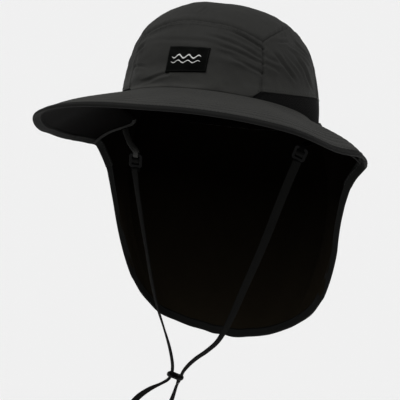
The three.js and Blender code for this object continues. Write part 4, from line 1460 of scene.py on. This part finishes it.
@dataclass
class FrontLabel:
    """The woven label: black, with two plain pale waves and a stitched border.

    Attributes:
        aside: how far its middle lies to the wearer's left.
        rise: height of its middle above the head opening.
        slant: its turn in degrees.
        shear: lean of its upright sides.
        taper: loss of height for each millimetre across.
        hem: distance of the stitches from its border.
        wave_reach: half the length of the waves.
        waves: place up the label, swing and thickness of each wave.
    """

    finishes: Finishes
    crown: Crown
    wide: float = 37.4
    tall: float = 23.4
    aside: float = 2.2
    rise: float = 26.0
    slant: float = 2.6
    shear: float = 0.08
    taper: float = 0.0022
    hem: float = 1.1
    wave_reach: float = 13.4
    waves: tuple[tuple[float, float, float], ...] = ((2.2, 1.5, 1.3), (-2.4, 1.1, 0.9))

    def point(self, across: Array, up: Array, lift: Array | float) -> Array:
        """Place over the label, across and up from its middle, at a height above the crown."""
        slant = math.radians(self.slant)
        x = self.aside + (across + self.shear * up) * math.cos(slant) - up * math.sin(slant)
        fall = 1 - self.taper * across
        rise = (self.rise + across * math.sin(slant) + up * math.cos(slant) * fall) / FORM.crown_height
        turn = np.degrees(np.arcsin(np.clip(x / FORM.half_width / FORM.share_at(rise), -1, 1)))
        base, normal = FORM.crown(turn, rise), FORM.crown_normal(turn, rise)
        waves = 0.16 * self.crown.fine.at(base) + 0.4 * self.crown.broad.at(base)
        return raised(base, normal, lift + waves)

    def patch(self) -> None:
        """The black cloth with its turned border."""
        u, v = graded(64, 0.02), graded(42, 0.03)
        x, z = np.meshgrid((u - 0.5) * self.wide, (v - 0.5) * self.tall, indexing="ij")
        full = rounded_border(u, 0.02, v, 0.03)
        rim = np.maximum(*(
            bump(np.abs(place) - size / 2 + self.hem, 1.0) for place, size in ((x, self.wide), (z, self.tall))
        ))
        outer, inner = self.point(x, z, 0.3 + 0.6 * full + 0.15 * rim), self.point(x, z, 0.05)
        item = wall("front_woven_label", outer, inner, np.stack([x, z], -1))
        sewn(item, "label_cloth", "front_label", cloths=(self.finishes.label,) * 2)

    def wave(self, number: int, middle: float, swing: float, thick: float) -> None:
        """One pale wave, raised a little above the patch."""
        t, w = np.linspace(-1, 1, 90)[:, None], np.linspace(-0.5, 0.5, 5)[None]
        taper = np.sqrt(np.clip(1 - t**6, 0, 1))
        x = np.broadcast_to(self.wave_reach * t - 1.0, (90, 5))
        z = middle + swing * np.sin(3 * math.pi * t) + w * (thick * taper)
        outer, inner = self.point(x, z, 1.0 + 0.22 * (1 - (2 * w) ** 2)), self.point(x, z, 0.8)
        item = wall(f"label_wave_{number}", outer, inner, np.stack([x, z], -1))
        sewn(item, "label_cloth", cloths=(self.finishes.pale_thread,) * 2)

    def build(self) -> None:
        """Makes the patch, its waves and its stitches."""
        self.patch()
        for number, wave in enumerate(self.waves, 1):
            self.wave(number, *wave)
        x, z = self.wide / 2 - self.hem, self.tall / 2 - self.hem
        corners = [(-x, -z), (x, -z), (x, z), (-x, z), (-x, -z)]
        line = np.vstack([np.linspace(a, b, 24, endpoint=False) for a, b in itertools.pairwise(corners)])
        border = self.point(line[:, 0], line[:, 1], 1.02)
        seam = Stitching("label_stitching", self.finishes.dark_thread)
        stitches = seam.sew("label_stitches", [np.vstack([border, border[:1]])], 1.5, 0.62, 0.16)
        sewn(stitches, "label_cloth")


# The brim


@dataclass
class Brim:
    """The stitched brim, its edge binding and the tapes under its rear seams.

    Attributes:
        binding_end: angle at which the binding gives way to the corner's tape.
        row_span: shares of the reach at the first and the last ring.
        groove: depth of the cloth under a ring.
        band_share: share of the reach up to which the black lining shows below.
        seam_share: where the cloth starts, a little inside the crown.
        tape_drop: how far the rear seam tape hangs under the brim's cloth.
        tape_size: half the width and half the thickness of that tape.
    """

    finishes: Finishes
    cloth: float = 2.2
    tape: FoldedTape = FoldedTape(8.0, 1.5, 0.35, 1.5, 8)
    binding_end: float = 98.5
    rows: int = 13
    row_span: Pair = (0.06, 0.9)
    groove: float = 0.5
    band_share: float = 0.085
    seam_share: float = -0.026
    tape_drop: float = 0.75
    tape_size: Pair = (2.1, 0.95)
    broad: Waves = field(default_factory=lambda: Waves(58.0, 21))

    def row_shares(self) -> Array:
        """Shares of the reach at which the rings of stitching run."""
        return np.linspace(*self.row_span, self.rows)

    def relief(self, turn: Array, share: Array) -> Array:
        """Height of the quilting and of the cloth's soft waves."""
        reach = FORM.reach(turn)
        high = np.zeros(np.broadcast(turn, share).shape)
        arc = np.radians(turn) * FORM.mean_radius * (1 + share)
        for k, row in enumerate(self.row_shares()):
            pucker = 0.07 * np.sin(arc / 1.7 + k * 2.1 + np.sin(arc / 11 + k))
            high = high - (self.groove + pucker) * hill((share - row) * reach, 1.0)
        waves = 0.22 * self.broad.at(FORM.brim(turn, share))
        return high + waves * np.clip(share / 0.3, 0, 1) * np.clip((1 - share) / 0.2, 0.25, 1)

    def face(self, turn: Array, share: Array | float) -> tuple[Array, Array]:
        """Upper face of the brim with its relief, and its normals."""
        turn, share = np.broadcast_arrays(np.asarray(turn, float), np.asarray(share, float))
        normal = FORM.brim_normal(turn, share)
        return raised(FORM.brim(turn, share), normal, self.relief(turn, share)), normal

    def body(self) -> None:
        """The brim's cloth: charcoal above, black below, its ends laid against the flap."""
        u, v = graded(440, 0.004), graded(104, 0.012)
        shares = self.seam_share + (0.985 - self.seam_share) * v
        turn, share = np.meshgrid(FORM.flap_start * (2 * u - 1), shares, indexing="ij")
        point, normal = self.face(turn, share)
        full = rounded_border(u, 0.004, v, 0.012)
        outer = raised(point, normal, self.cloth / 2 * (full - 1))
        quilting = self.relief(turn, share) * (share < 0.9)
        inner = raised(point, normal, -self.cloth / 2 * (full + 1) - 0.1 - quilting)
        uvs = np.stack([np.radians(turn) * FORM.mean_radius * 1.5, share * FORM.reach(turn)], -1)
        item = wall("brim_cloth", outer, inner, uvs)
        slots = np.zeros(len(item.data.polygons), np.int32)
        item.data.polygons.foreach_get("material_index", slots)
        column = np.tile(shares[:-1], len(u) - 1)
        slots[len(column) : 2 * len(column)] = np.where(column < self.band_share, 2, 1)
        item.data.polygons.foreach_set("material_index", slots)
        # The brim's upper face takes the lighter copy of the shell cloth, which is painted light.
        cloths = self.finishes.shell_brim, self.finishes.underside, self.finishes.lining
        sewn(item, "shell_cloth", "brim", cloths=cloths)

    def binding(self) -> None:
        """The tape folded over the brim's edge."""
        turns = np.linspace(-self.binding_end, self.binding_end, 460)
        rim, normal = self.face(turns, 1.0)
        inside, _ = self.face(turns, 1 - self.tape.width / FORM.reach(turns))
        lines = raised(rim, normal, -self.cloth / 2), unit(inside - rim), normal
        item = self.tape.strip("brim_edge_binding", *lines)
        sewn(item, "edge_binding", "brim_binding", cloths=(self.finishes.tape,))
        seam = Stitching("binding_stitching", self.finishes.shell_thread)
        sewn(self.tape.stitches("brim_binding_stitches", seam, *lines), "edge_binding")

    def rings(self) -> None:
        """The rings of quilting stitches."""
        end = FORM.brim_end - 1.5
        turns = np.linspace(-end, end, 300)
        lines = [raised(*self.face(turns, row), 0.02) for row in self.row_shares()]
        seam = Stitching("brim_stitching", self.finishes.dark_thread)
        sewn(seam.sew("brim_stitches", lines, 3.0, 1.3, 0.24), "shell_cloth")

    def rear_tape(self, side: Side) -> None:
        """The rolled tape under one rear seam, on along the head opening to the front."""
        rear, down = self.face(np.full(60, side.value * (FORM.brim_end - 1.3)), np.linspace(0.965, 0.12, 60))
        ring, up = self.face(side.value * np.linspace(FORM.brim_end - 3.5, 0.0, 110), self.band_share)
        normal = np.vstack([down, up])
        route = eased(raised(np.vstack([rear, ring]), normal, -self.cloth - self.tape_drop), 3, 2.0)
        way = tangents(route)
        depth = square_to(eased(normal, 3), way)
        a = np.linspace(0, 2 * np.pi, 15)[:-1]
        section = np.stack([np.cos(a), np.sin(a)], 1) * self.tape_size
        item = sweep(f"rear_seam_roll_{side.word}", route, np.cross(way, depth), depth, section)
        slots = np.zeros(len(item.data.polygons), np.int32)
        slots[len(rear) * len(section) :] = 1
        item.data.polygons.foreach_set("material_index", slots)
        sewn(item, "edge_binding", f"rear_seam_tape_{side.word}",
             cloths=(self.finishes.piping, self.finishes.lining))

    def build(self) -> None:
        """Makes every piece of the brim."""
        self.body()
        self.binding()
        self.rings()
        for side in Side:
            self.rear_tape(side)


# The neck flap


@dataclass
class NeckFlap:
    """The hanging flap and the binding round its free edges.

    Attributes:
        flat: width and height of the flap laid flat, in metres; not used.
        spread: lengths on the cloth of half the way round and of the way down.
    """

    finishes: Finishes
    cloth: float = 1.3
    tape: FoldedTape = FoldedTape(9.0, 1.15, 0.4, 1.6)
    flat: Pair = (0.38, 0.235)
    flat_area: float = 0.066
    spread: Pair = (190.0, 234.0)
    broad: Waves = field(default_factory=lambda: Waves(46.0, 5))
    fine: Waves = field(default_factory=lambda: Waves(15.0, 12, 16))

    def face(self, around: Array, down: Array | float) -> tuple[Array, Array]:
        """Middle face of the flap with its soft waves, and its normals."""
        around, down = np.broadcast_arrays(np.asarray(around, float), np.asarray(down, float))
        base, normal = FORM.flap(around, down), FORM.flap_normal(around, down)
        edge = np.clip(np.minimum(around, 2 - around) / 0.12, 0, 1) * np.clip((1 - down) / 0.12, 0.02, 1)
        waves = 0.75 * self.broad.at(base * np.array([1.0, 1.0, 0.35])) + 0.14 * self.fine.at(base)
        arc = around * self.spread[0]
        gather = 0.35 * np.sin(arc / 1.9 + 1.3 * np.sin(arc / 9)) * np.exp(-down * 12)
        relief = edge * (waves * np.clip(down / 0.12, 0, 1) + gather * np.clip(down / 0.03, 0, 1))
        return raised(base, normal, relief), normal

    def body(self) -> Item:
        """The cloth of the flap, charcoal outside and black inside."""
        u, v = graded(250, 0.003), graded(104, 0.008)
        around, down = np.meshgrid(0.012 + 1.976 * u, 0.992 * v, indexing="ij")
        point, normal = self.face(around, down)
        half = self.cloth / 2 * rounded_border(u, 0.003, v, 0.008)
        uvs = np.stack([around, down], -1) * self.spread
        return wall("neck_flap_cloth", raised(point, normal, half), raised(point, normal, -half), uvs)

    def border(self) -> tuple[Array, Array, Array]:
        """Edge points, inward directions and normals all along the free edges."""
        across = self.tape.width / (FORM.rear_edge / FORM.rear_share)
        down = self.tape.width / (FORM.flap_drop * 1.08)
        fall, hem, still = np.linspace(0.0, 1, 90)[:-1], np.linspace(0, 1, 280), np.ones(89)
        edge, normal = self.face(
            np.concatenate([0 * still, 2 * hem, 2 * still]),
            np.concatenate([fall, np.ones(280), fall[::-1]]),
        )
        inside, _ = self.face(
            np.concatenate([across * still, across + (2 - 2 * across) * hem, (2 - across) * still]),
            np.concatenate([fall, np.ones(280), fall[::-1]]) * (1 - down),
        )
        way = inside - edge
        way = unit(way - normal * (way * normal).sum(-1, keepdims=True) * 0.5)
        return edge, unit(eased(way, 4)), unit(eased(normal, 4))

    def seam_line(self) -> Item:
        """Stitches that hold the flap's top to the crown's back."""
        start = FORM.rear_share + 0.06
        point, normal = self.face(np.linspace(start, 2 - start, 300), 0.012)
        seam = Stitching("flap_top_stitching", self.finishes.shell_thread)
        return seam.sew("flap_top_stitches", [raised(point, normal, self.cloth / 2 + 0.03)])

    def build(self) -> None:
        """Makes every piece of the flap."""
        body, lines = self.body(), self.border()
        tape = self.tape.strip("flap_edge_binding", *lines)
        seam = Stitching("flap_stitching", self.finishes.dark_thread)
        stitches = self.tape.stitches("flap_binding_stitches", seam, *lines)
        top = self.seam_line()
        cloths = self.finishes.shell, self.finishes.flap_lining
        sewn(body, "inner_cloth", "neck_flap", cloths=cloths)
        sewn(tape, "edge_binding", "flap_binding", cloths=(self.finishes.flap_tape,))
        sewn(stitches, "edge_binding")
        sewn(top, "shell_cloth")


@dataclass
class CornerWrap:
    """The tape that turns from the brim's edge down into the flap's front edge on one side.

    Attributes:
        brim_turns: angles of its points on the brim's edge.
        flap_downs: shares of the flap's drop at its points on the flap's edge.
    """

    finishes: Finishes
    brim: Brim
    flap: NeckFlap
    side: Side
    tape: FoldedTape = FoldedTape(8.6, 1.75, 0.5, 1.8)
    brim_turns: Row = (88.0, 91.0, 94.0, 97.0)
    flap_downs: Row = (0.07, 0.1, 0.13, 0.17)

    @property
    def pushes(self) -> Row:
        """Outward push of each point, from the brim to the flap, in millimetres."""
        if self.side is Side.LEFT:
            return 0.0, 0.8, 1.6, 2.0, 1.6, 0.4, 0.0, 0.0, 0.0
        return 0.0, 0.0, 0.0, 0.0, -0.6, 0.0, 0.0, 0.0, 0.0

    def frames(self) -> tuple[Array, Array, Array]:
        """Edge points, inward directions and normals, from the brim round to the flap."""
        sign = self.side.value
        turns = sign * np.array(self.brim_turns)
        rim, up = self.brim.face(turns, 1.0)
        inside, _ = self.brim.face(turns, 1 - self.brim.tape.width / FORM.reach(turns))
        brim_way = unit(inside - rim)
        edge_at = 1.0 - sign
        edge, out = self.flap.face(edge_at, self.flap_downs)
        within, _ = self.flap.face(edge_at + sign * 0.05, self.flap_downs)
        flap_way = unit(within - edge)
        corner, _ = self.flap.face(np.array([edge_at]), 0.015)
        points = np.vstack([raised(rim, up, -self.brim.cloth / 2), corner, edge])
        ways = np.vstack([brim_way, unit(brim_way[-1:] + flap_way[:1]), flap_way])
        normals = np.vstack([up, unit(up[-1:] + out[:1]), out])
        points = points - ways * np.array(self.pushes)[:, None]
        path = rounded_path([tuple(point) for point in points], 0.8)
        spots = [np.argmin(np.linalg.norm(path - point, axis=1)) for point in points]
        way, normal = (
            np.stack([np.interp(np.arange(len(path)), spots, rows[:, k]) for k in range(3)], -1)
            for rows in (ways, normals)
        )
        path = eased(path, 10, 2.0)
        way = square_to(eased(way, 10), tangents(path))
        return path, way, square_to(eased(normal, 10), way)

    def build(self) -> None:
        """Makes the tape and its stitches."""
        path, way, normal = self.frames()
        item = self.tape.strip(f"corner_wrap_{self.side.word}", path - way * 0.3, way, normal)
        seam = Stitching(f"corner_stitching_{self.side.word}", self.finishes.shell_thread)
        stitches = self.tape.stitches(f"corner_stitches_{self.side.word}", seam, path, way, normal)
        sewn(item, "edge_binding", cloths=(self.finishes.flap_tape,))
        sewn(stitches, "edge_binding")


# The chin cord


@dataclass(frozen=True)
class Hanger:
    """Webbing tab and ladder buckle at one end of the cord, in millimetres and degrees.

    Attributes:
        root_share: share of the brim's reach at which the tab is sewn on.
        end: the cord's end, at the foot of the buckle.
        under: how far under the brim's face the tab is sewn on.
    """

    side: Side
    root_share: float
    bend: Point
    top: Point
    end: Point
    roll: float
    under: float = 3.8

    @property
    def root(self) -> Array:
        """Where the tab is sewn under the brim's rear seam."""
        place = self.side.value * FORM.brim_end, self.root_share
        return FORM.brim(*place) - FORM.brim_normal(*place) * self.under

    @property
    def centre(self) -> Array:
        """Middle of the buckle."""
        return (np.array(self.top) + np.array(self.end)) / 2

    @property
    def axes(self) -> tuple[Array, Array, Array]:
        """The buckle's own directions: across, through and up."""
        a = math.radians(self.roll)
        return (np.array([math.cos(a), 0, -math.sin(a)]), np.array([0.0, 1.0, 0.0]),
                np.array([math.sin(a), 0, math.cos(a)]))


HANGERS = (
    Hanger(Side.RIGHT, 0.33, (-92.0, -3.0, -37.2), (-81.6, -8.5, -45.3), (-84.0, -11.0, -60.5), 3),
    Hanger(Side.LEFT, 0.234, (91.5, 7.0, -26.0), (82.5, 1.2, -28.9), (78.5, -1.6, -42.6), 22),
)

CORD_ROUTE: tuple[Point, ...] = (
    (-84.0, -11, -60.5), (-81.2, -12, -80), (-76.8, -13, -106.5), (-70.4, -14.5, -141),
    (-63.7, -16, -175.7), (-57.1, -17.5, -200.3), (-50.8, -18.5, -217.9), (-44.8, -19, -236.7),
    (-41.6, -20, -250.7), (-41.3, -20, -258.5), (-42.6, -20, -264.7), (-45.8, -20, -270.2),
    (-53.2, -20, -275.8), (-65.5, -20.5, -283.3), (-73.8, -21, -289.5), (-81.2, -21, -296.8),
    (-86.9, -21, -305.7), (-87.6, -21, -315.5), (-81, -21, -322.6), (-70.6, -21, -323.6),
    (-60.1, -21, -317.6), (-51.3, -21, -308.2), (-45.3, -21, -298.6), (-41.5, -21, -289.8),
    (-38.8, -20.5, -281.6), (-36.6, -20, -275), (-34.8, -20, -272), (-32.6, -20, -267.2),
    (-30.4, -20, -261.4), (-25.2, -19.5, -253.9), (-17, -19, -245.4), (-5.5, -18.5, -236),
    (5.9, -18, -224.3), (17, -17, -203.7), (30, -14, -171.7), (47.4, -10, -128.1),
    (62.5, -6, -85.6), (71.2, -3.3, -61.3), (78.5, -1.6, -42.6),
)


BUCKLE_OUTLINES = (
    (0.0, 12.6, 13.0, 2.4),
    (2.75, 8.7, 3.2, 0.7),
    (-2.75, 8.7, 3.2, 0.7),
)
"""The buckle's frame and its two windows: height of the middle, width, height and corner radius."""


@dataclass
class Slider:
    """The cord's slider: a waisted bar with a slot for each run of the cord, in millimetres.

    Attributes:
        waist: half its height in the middle.
        flare: how much higher it is toward its ends.
        deep: half its depth.
        slot: length and width of a slot.
        apart: distance of a slot from the middle.
    """

    finish: Material
    place: Point = (-38.3, -20.0, -265.75)
    roll: float = 13.5
    half: float = 8.8
    waist: float = 1.6
    flare: float = 1.5
    deep: float = 5.6
    slot: Pair = (8.7, 2.0)
    apart: float = 4.4
    rings: tuple[int, int] = (28, 33)

    def bar(self) -> Item:
        """The bar without its slots."""
        around, along = self.rings
        x = np.sin(np.linspace(-np.pi / 2, np.pi / 2, along)) * self.half
        share = np.abs(x) / self.half
        tall, deep = (np.clip(np.sqrt(np.clip(1 - share**power, 0, 1)), 0.02, 1) for power in (4, 3))
        tall = (self.waist + self.flare * share**1.6) * tall
        a = np.linspace(0, 2 * np.pi, around + 1)[:-1]
        ring = np.stack([np.cos(a), np.sin(a)], 1)
        ring = np.sign(ring) * np.abs(ring) ** 0.7
        points = np.stack([
            np.broadcast_to(x[:, None], (along, around)),
            self.deep * deep[:, None] * ring[None, :, 0], tall[:, None] * ring[None, :, 1],
        ], -1).reshape(-1, 3)
        numbers = np.arange(along * around).reshape(along, around)
        quads = grid_quads(np.hstack([numbers, numbers[:, :1]]))
        faces = quads.tolist() + [numbers[0].tolist()[::-1], numbers[-1].tolist()]
        return new_object("cord_slider_bar", points, turned(faces, volume_of(points, quads) < 0))

    def cutter(self, sign: int) -> Item:
        """The solid that cuts one slot."""
        rim = flat_section(*self.slot, 6)[:, ::-1] + (sign * self.apart, 0.0)
        count = len(rim)
        points = np.vstack([np.hstack([rim, np.full((count, 1), z)]) for z in (-6.0, 6.0)])
        sides = [[k, (k + 1) % count, count + (k + 1) % count, count + k] for k in range(count)]
        lids = [list(range(count))[::-1], list(range(count, 2 * count))]
        return new_object(f"slot_{sign}", points, sides + lids)

    def build(self) -> Item:
        """Makes the slider."""
        item = self.bar()
        cutters = [self.cutter(sign) for sign in (-1, 1)]
        for cutter in cutters:
            cut = item.modifiers.new("slot", "BOOLEAN")
            cut.operation, cut.object, cut.solver = "DIFFERENCE", cutter, "EXACT"
        plain_mesh(item)
        for cutter in cutters:
            bpy.data.objects.remove(cutter)
        turn = Matrix.Rotation(math.radians(self.roll), 4, "Y")
        item.data.transform(Matrix.Translation(Vector(self.place) * MM) @ turn)
        item.data.materials.clear()
        return sewn(item, "plastic", "cord_slider", cloths=(self.finish,))


@dataclass
class ChinCord:
    """The flat cord, its slider, and the hangers at its ends.

    Attributes:
        twist_at: places along the cord, as shares of its length.
        twist: how far it is turned there from flat to the front, in degrees.
        facing: direction of the front.
        buckle_form: half the buckle's thickness without its rounding, and the rounding.
        tab_open: half the distance between the tab's two sides at the buckle.
        tab_route: heights over the buckle's middle on its way down, and shares of that distance.
        tab_turn: height at which it turns round the buckle's top bar.
        tail_route: heights over the buckle's middle along the lacing, and depths behind it.
    """

    finishes: Finishes
    width: float = 8.4
    thick: float = 1.1
    buckle_form: Pair = (0.75, 0.45)
    tab_size: Pair = (5.0, 0.9)
    tab_open: float = 1.75
    tab_route: tuple[Pair, ...] = ((8.2, 0.9), (5.4, 1.0), (3.6, 0.75))
    tab_turn: float = 3.3
    tail_size: Pair = (7.4, 0.9)
    tail_route: tuple[Pair, ...] = (
        (-4.6, 2.0), (-2.6, 0.0), (-0.4, -1.9), (1.2, -1.7), (2.6, 0.1), (1.6, 1.9), (-3.4, 3.1),
    )
    twist_at: Row = (
        0.0, 0.031, 0.074, 0.13, 0.187, 0.227, 0.257, 0.289, 0.324, 0.36, 0.384, 0.417, 0.45, 0.5,
        0.54, 0.555, 0.585, 0.62, 0.69, 0.726, 0.782, 0.857, 0.929, 1.0,
    )
    twist: Row = (
        43, 56, 60, 67, 68, 74, 79, 72, 71, 82, 67, 50, 40, 40,
        50, 63, 75, 62, 54, 41, 30, 17, 6, 4,
    )
    facing: Point = (0.352, -0.906, 0.236)

    def cord(self, path: Array) -> Item:
        """The flat cord as one closed strip along its path."""
        way = tangents(path)
        flat = unit(np.cross(way, np.array(self.facing)))
        angle = np.radians(smooth(self.twist_at, self.twist, np.linspace(0, 1, len(path))))[:, None]
        wide = flat * np.cos(angle) + np.cross(way, flat) * np.sin(angle)
        section = flat_section(self.width, self.thick)
        return sweep("chin_cord_webbing", path, wide, np.cross(way, wide), section)

    def buckle(self, hanger: Hanger) -> None:
        """Ladder buckle: a rounded frame with two windows and a crowned middle bar."""
        name = f"ladder_buckle_{hanger.side.word}"
        curve = bpy.data.curves.new(name, "CURVE")
        curve.dimensions, curve.fill_mode = "2D", "BOTH"
        curve.extrude, curve.bevel_depth = (size * MM for size in self.buckle_form)
        curve.bevel_resolution = 3
        for y, wide, tall, r in BUCKLE_OUTLINES:
            outline = []
            for quarter, (sx, sy) in enumerate(((1, 1), (-1, 1), (-1, -1), (1, -1))):
                for angle in quarter * math.pi / 2 + np.linspace(0, math.pi / 2, 5):
                    outline.append((sx * (wide / 2 - r) + r * math.cos(angle),
                                    y + sy * (tall / 2 - r) + r * math.sin(angle)))
            spline = curve.splines.new("POLY")
            spline.points.add(len(outline) - 1)
            for spot, (px, py) in zip(spline.points, outline, strict=True):
                spot.co = (px * MM, py * MM, 0, 1)
            spline.use_cyclic_u = True
        source = linked(f"{name}_outline", curve)
        mesh = evaluated_mesh(source)
        bpy.data.objects.remove(source)
        across, through, up = hanger.axes
        place = Matrix(np.column_stack([across, up, -through]).tolist()).to_4x4()
        mesh.transform(Matrix.Translation(Vector(hanger.centre) * MM) @ place)
        mesh.name = name
        mesh.materials.clear()
        mesh.shade_smooth()
        node = f"cord_buckle_{hanger.side.word}"
        sewn(linked(name, mesh), "plastic", node, cloths=(self.finishes.plastic,))

    def tab(self, hanger: Hanger) -> None:
        """The webbing loop from the brim's seam round the buckle's top bar and back."""
        across, through, up = hanger.axes
        centre, bend = hanger.centre, np.array(hanger.bend)
        sides = []
        for out in (-self.tab_open * through, self.tab_open * through):
            down = [centre + up * high + out * share for high, share in self.tab_route]
            sides.append([hanger.root + out * 0.35, bend + out * 0.5, *down])
        route = [*sides[0], centre + up * self.tab_turn, *sides[1][::-1]]
        section = flat_section(*self.tab_size)
        item = ribbon(f"webbing_tab_{hanger.side.word}", route, 1.0, across, section)
        # The left tab gets the black copy as painted shade.
        cloth = self.finishes.tab_webbing if hanger.side is Side.RIGHT else self.finishes.shaded_tab
        sewn(item, "webbing", f"cord_tab_{hanger.side.word}", cloths=(cloth,))

    def tail(self, hanger: Hanger) -> None:
        """The cord's end, laced through the buckle's lower window and over its middle bar."""
        across, through, up = hanger.axes
        end = np.array(hanger.end)
        down = unit(np.array(CORD_ROUTE[1 if hanger.side is Side.RIGHT else -2]) - end)
        route = [end + down * 3.0 + through * 0.9, end + up * 0.5 + through * 1.6]
        route += [hanger.centre + up * high + through * deep for high, deep in self.tail_route]
        route.append(end + down * 4.0 + through * 2.4)
        section = flat_section(*self.tail_size)
        item = ribbon(f"cord_tail_{hanger.side.word}", route, 0.8, across, section)
        sewn(item, "webbing", cloths=(self.finishes.webbing,))

    def build(self) -> None:
        """Makes the cord, its slider and its hangers."""
        path = rounded_path(CORD_ROUTE, 1.6)
        cord = sewn(self.cord(path), "webbing", "chin_cord", cloths=(self.finishes.webbing,))
        slider = Slider(self.finishes.slider_plastic).build()
        for hanger in HANGERS:
            self.buckle(hanger)
            self.tab(hanger)
            self.tail(hanger)


# The studio


@dataclass(frozen=True)
class SoftSun:
    """A far, broad studio light: its direction from the hat, its width in degrees, its power."""

    name: str
    toward: Point
    width: float
    power: float

    def build(self) -> None:
        """Makes the light."""
        light = bpy.data.lights.new(self.name, "SUN")
        light.angle, light.energy = math.radians(self.width), self.power
        item = linked(self.name, light)
        item.location = self.toward
        item.rotation_euler = Vector(self.toward).to_track_quat("Z", "Y").to_euler()


@dataclass(frozen=True)
class Studio:
    """Camera, pale floor and soft light."""

    eye: Point = (0.4364, -1.1729, 0.2163)
    target: Point = (-0.0099, -0.0254, -0.0827)
    lens: float = 120.3
    floor_height: float = -0.95
    floor_size: float = 80.0
    floor_shade: float = 0.95
    sky: float = 0.27
    suns: tuple[SoftSun, ...] = (
        SoftSun("key_softbox", (-0.35, -0.18, 1.0), 45.0, 1.5),
        SoftSun("fill_softbox", (0.6, -0.1, 1.0), 60.0, 0.75),
    )

    def camera(self) -> None:
        """Makes the camera at the photograph's angle."""
        data = bpy.data.cameras.new("photo_camera")
        data.lens, data.sensor_width, data.sensor_fit = self.lens, 36.0, "HORIZONTAL"
        data.clip_start, data.clip_end = 0.05, 200.0
        item = linked("photo_camera", data)
        item.location = self.eye
        ahead = Vector(self.target) - Vector(self.eye)
        item.rotation_euler = ahead.to_track_quat("-Z", "Y").to_euler()
        bpy.context.scene.camera = item

    def floor(self) -> None:
        """Makes the pale floor."""
        half, z = self.floor_size / 2 / MM, self.floor_height / MM
        corners = np.array([(-half, -half, z), (half, -half, z), (half, half, z), (-half, half, z)])
        item = new_object("studio_floor", corners, [[0, 1, 2, 3]])
        nodes, shader = started("pale_floor", 0.9, 0.0)
        shader.inputs["Base Color"].default_value = (*[self.floor_shade] * 3, 1.0)
        item.data.materials.append(nodes.material)

    def lights(self) -> None:
        """Makes the even surround and the soft lights."""
        world = bpy.data.worlds.new("soft_surround")
        world.use_nodes = True
        surround = world.node_tree.nodes["Background"]
        surround.inputs["Color"].default_value = (1.0, 1.0, 1.0, 1.0)
        surround.inputs["Strength"].default_value = self.sky
        bpy.context.scene.world = world
        for sun in self.suns:
            sun.build()

    def build(self) -> None:
        """Makes the floor and lights, and shows colours as they are."""
        bpy.context.scene.view_settings.view_transform = "Standard"
        self.floor()
        self.lights()


def main() -> None:
    """Loads the frame and dresses the hat, piece by piece."""
    logging.basicConfig(level=logging.INFO, format="%(message)s")
    for item in list(bpy.data.objects):
        bpy.data.objects.remove(item)
    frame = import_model()
    LOG.info("the frame is loaded: %s", type(frame).__name__)
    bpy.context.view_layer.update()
    studio = Studio()
    studio.camera()
    finishes = Finishes()
    ChinCord(finishes).build()
    Crown(finishes).build()
    brim, flap = Brim(finishes), NeckFlap(finishes)
    brim.build()
    flap.build()
    for side in Side:
        CornerWrap(finishes, brim, flap, side).build()
    studio.build()


if __name__ == "__main__":
    main()
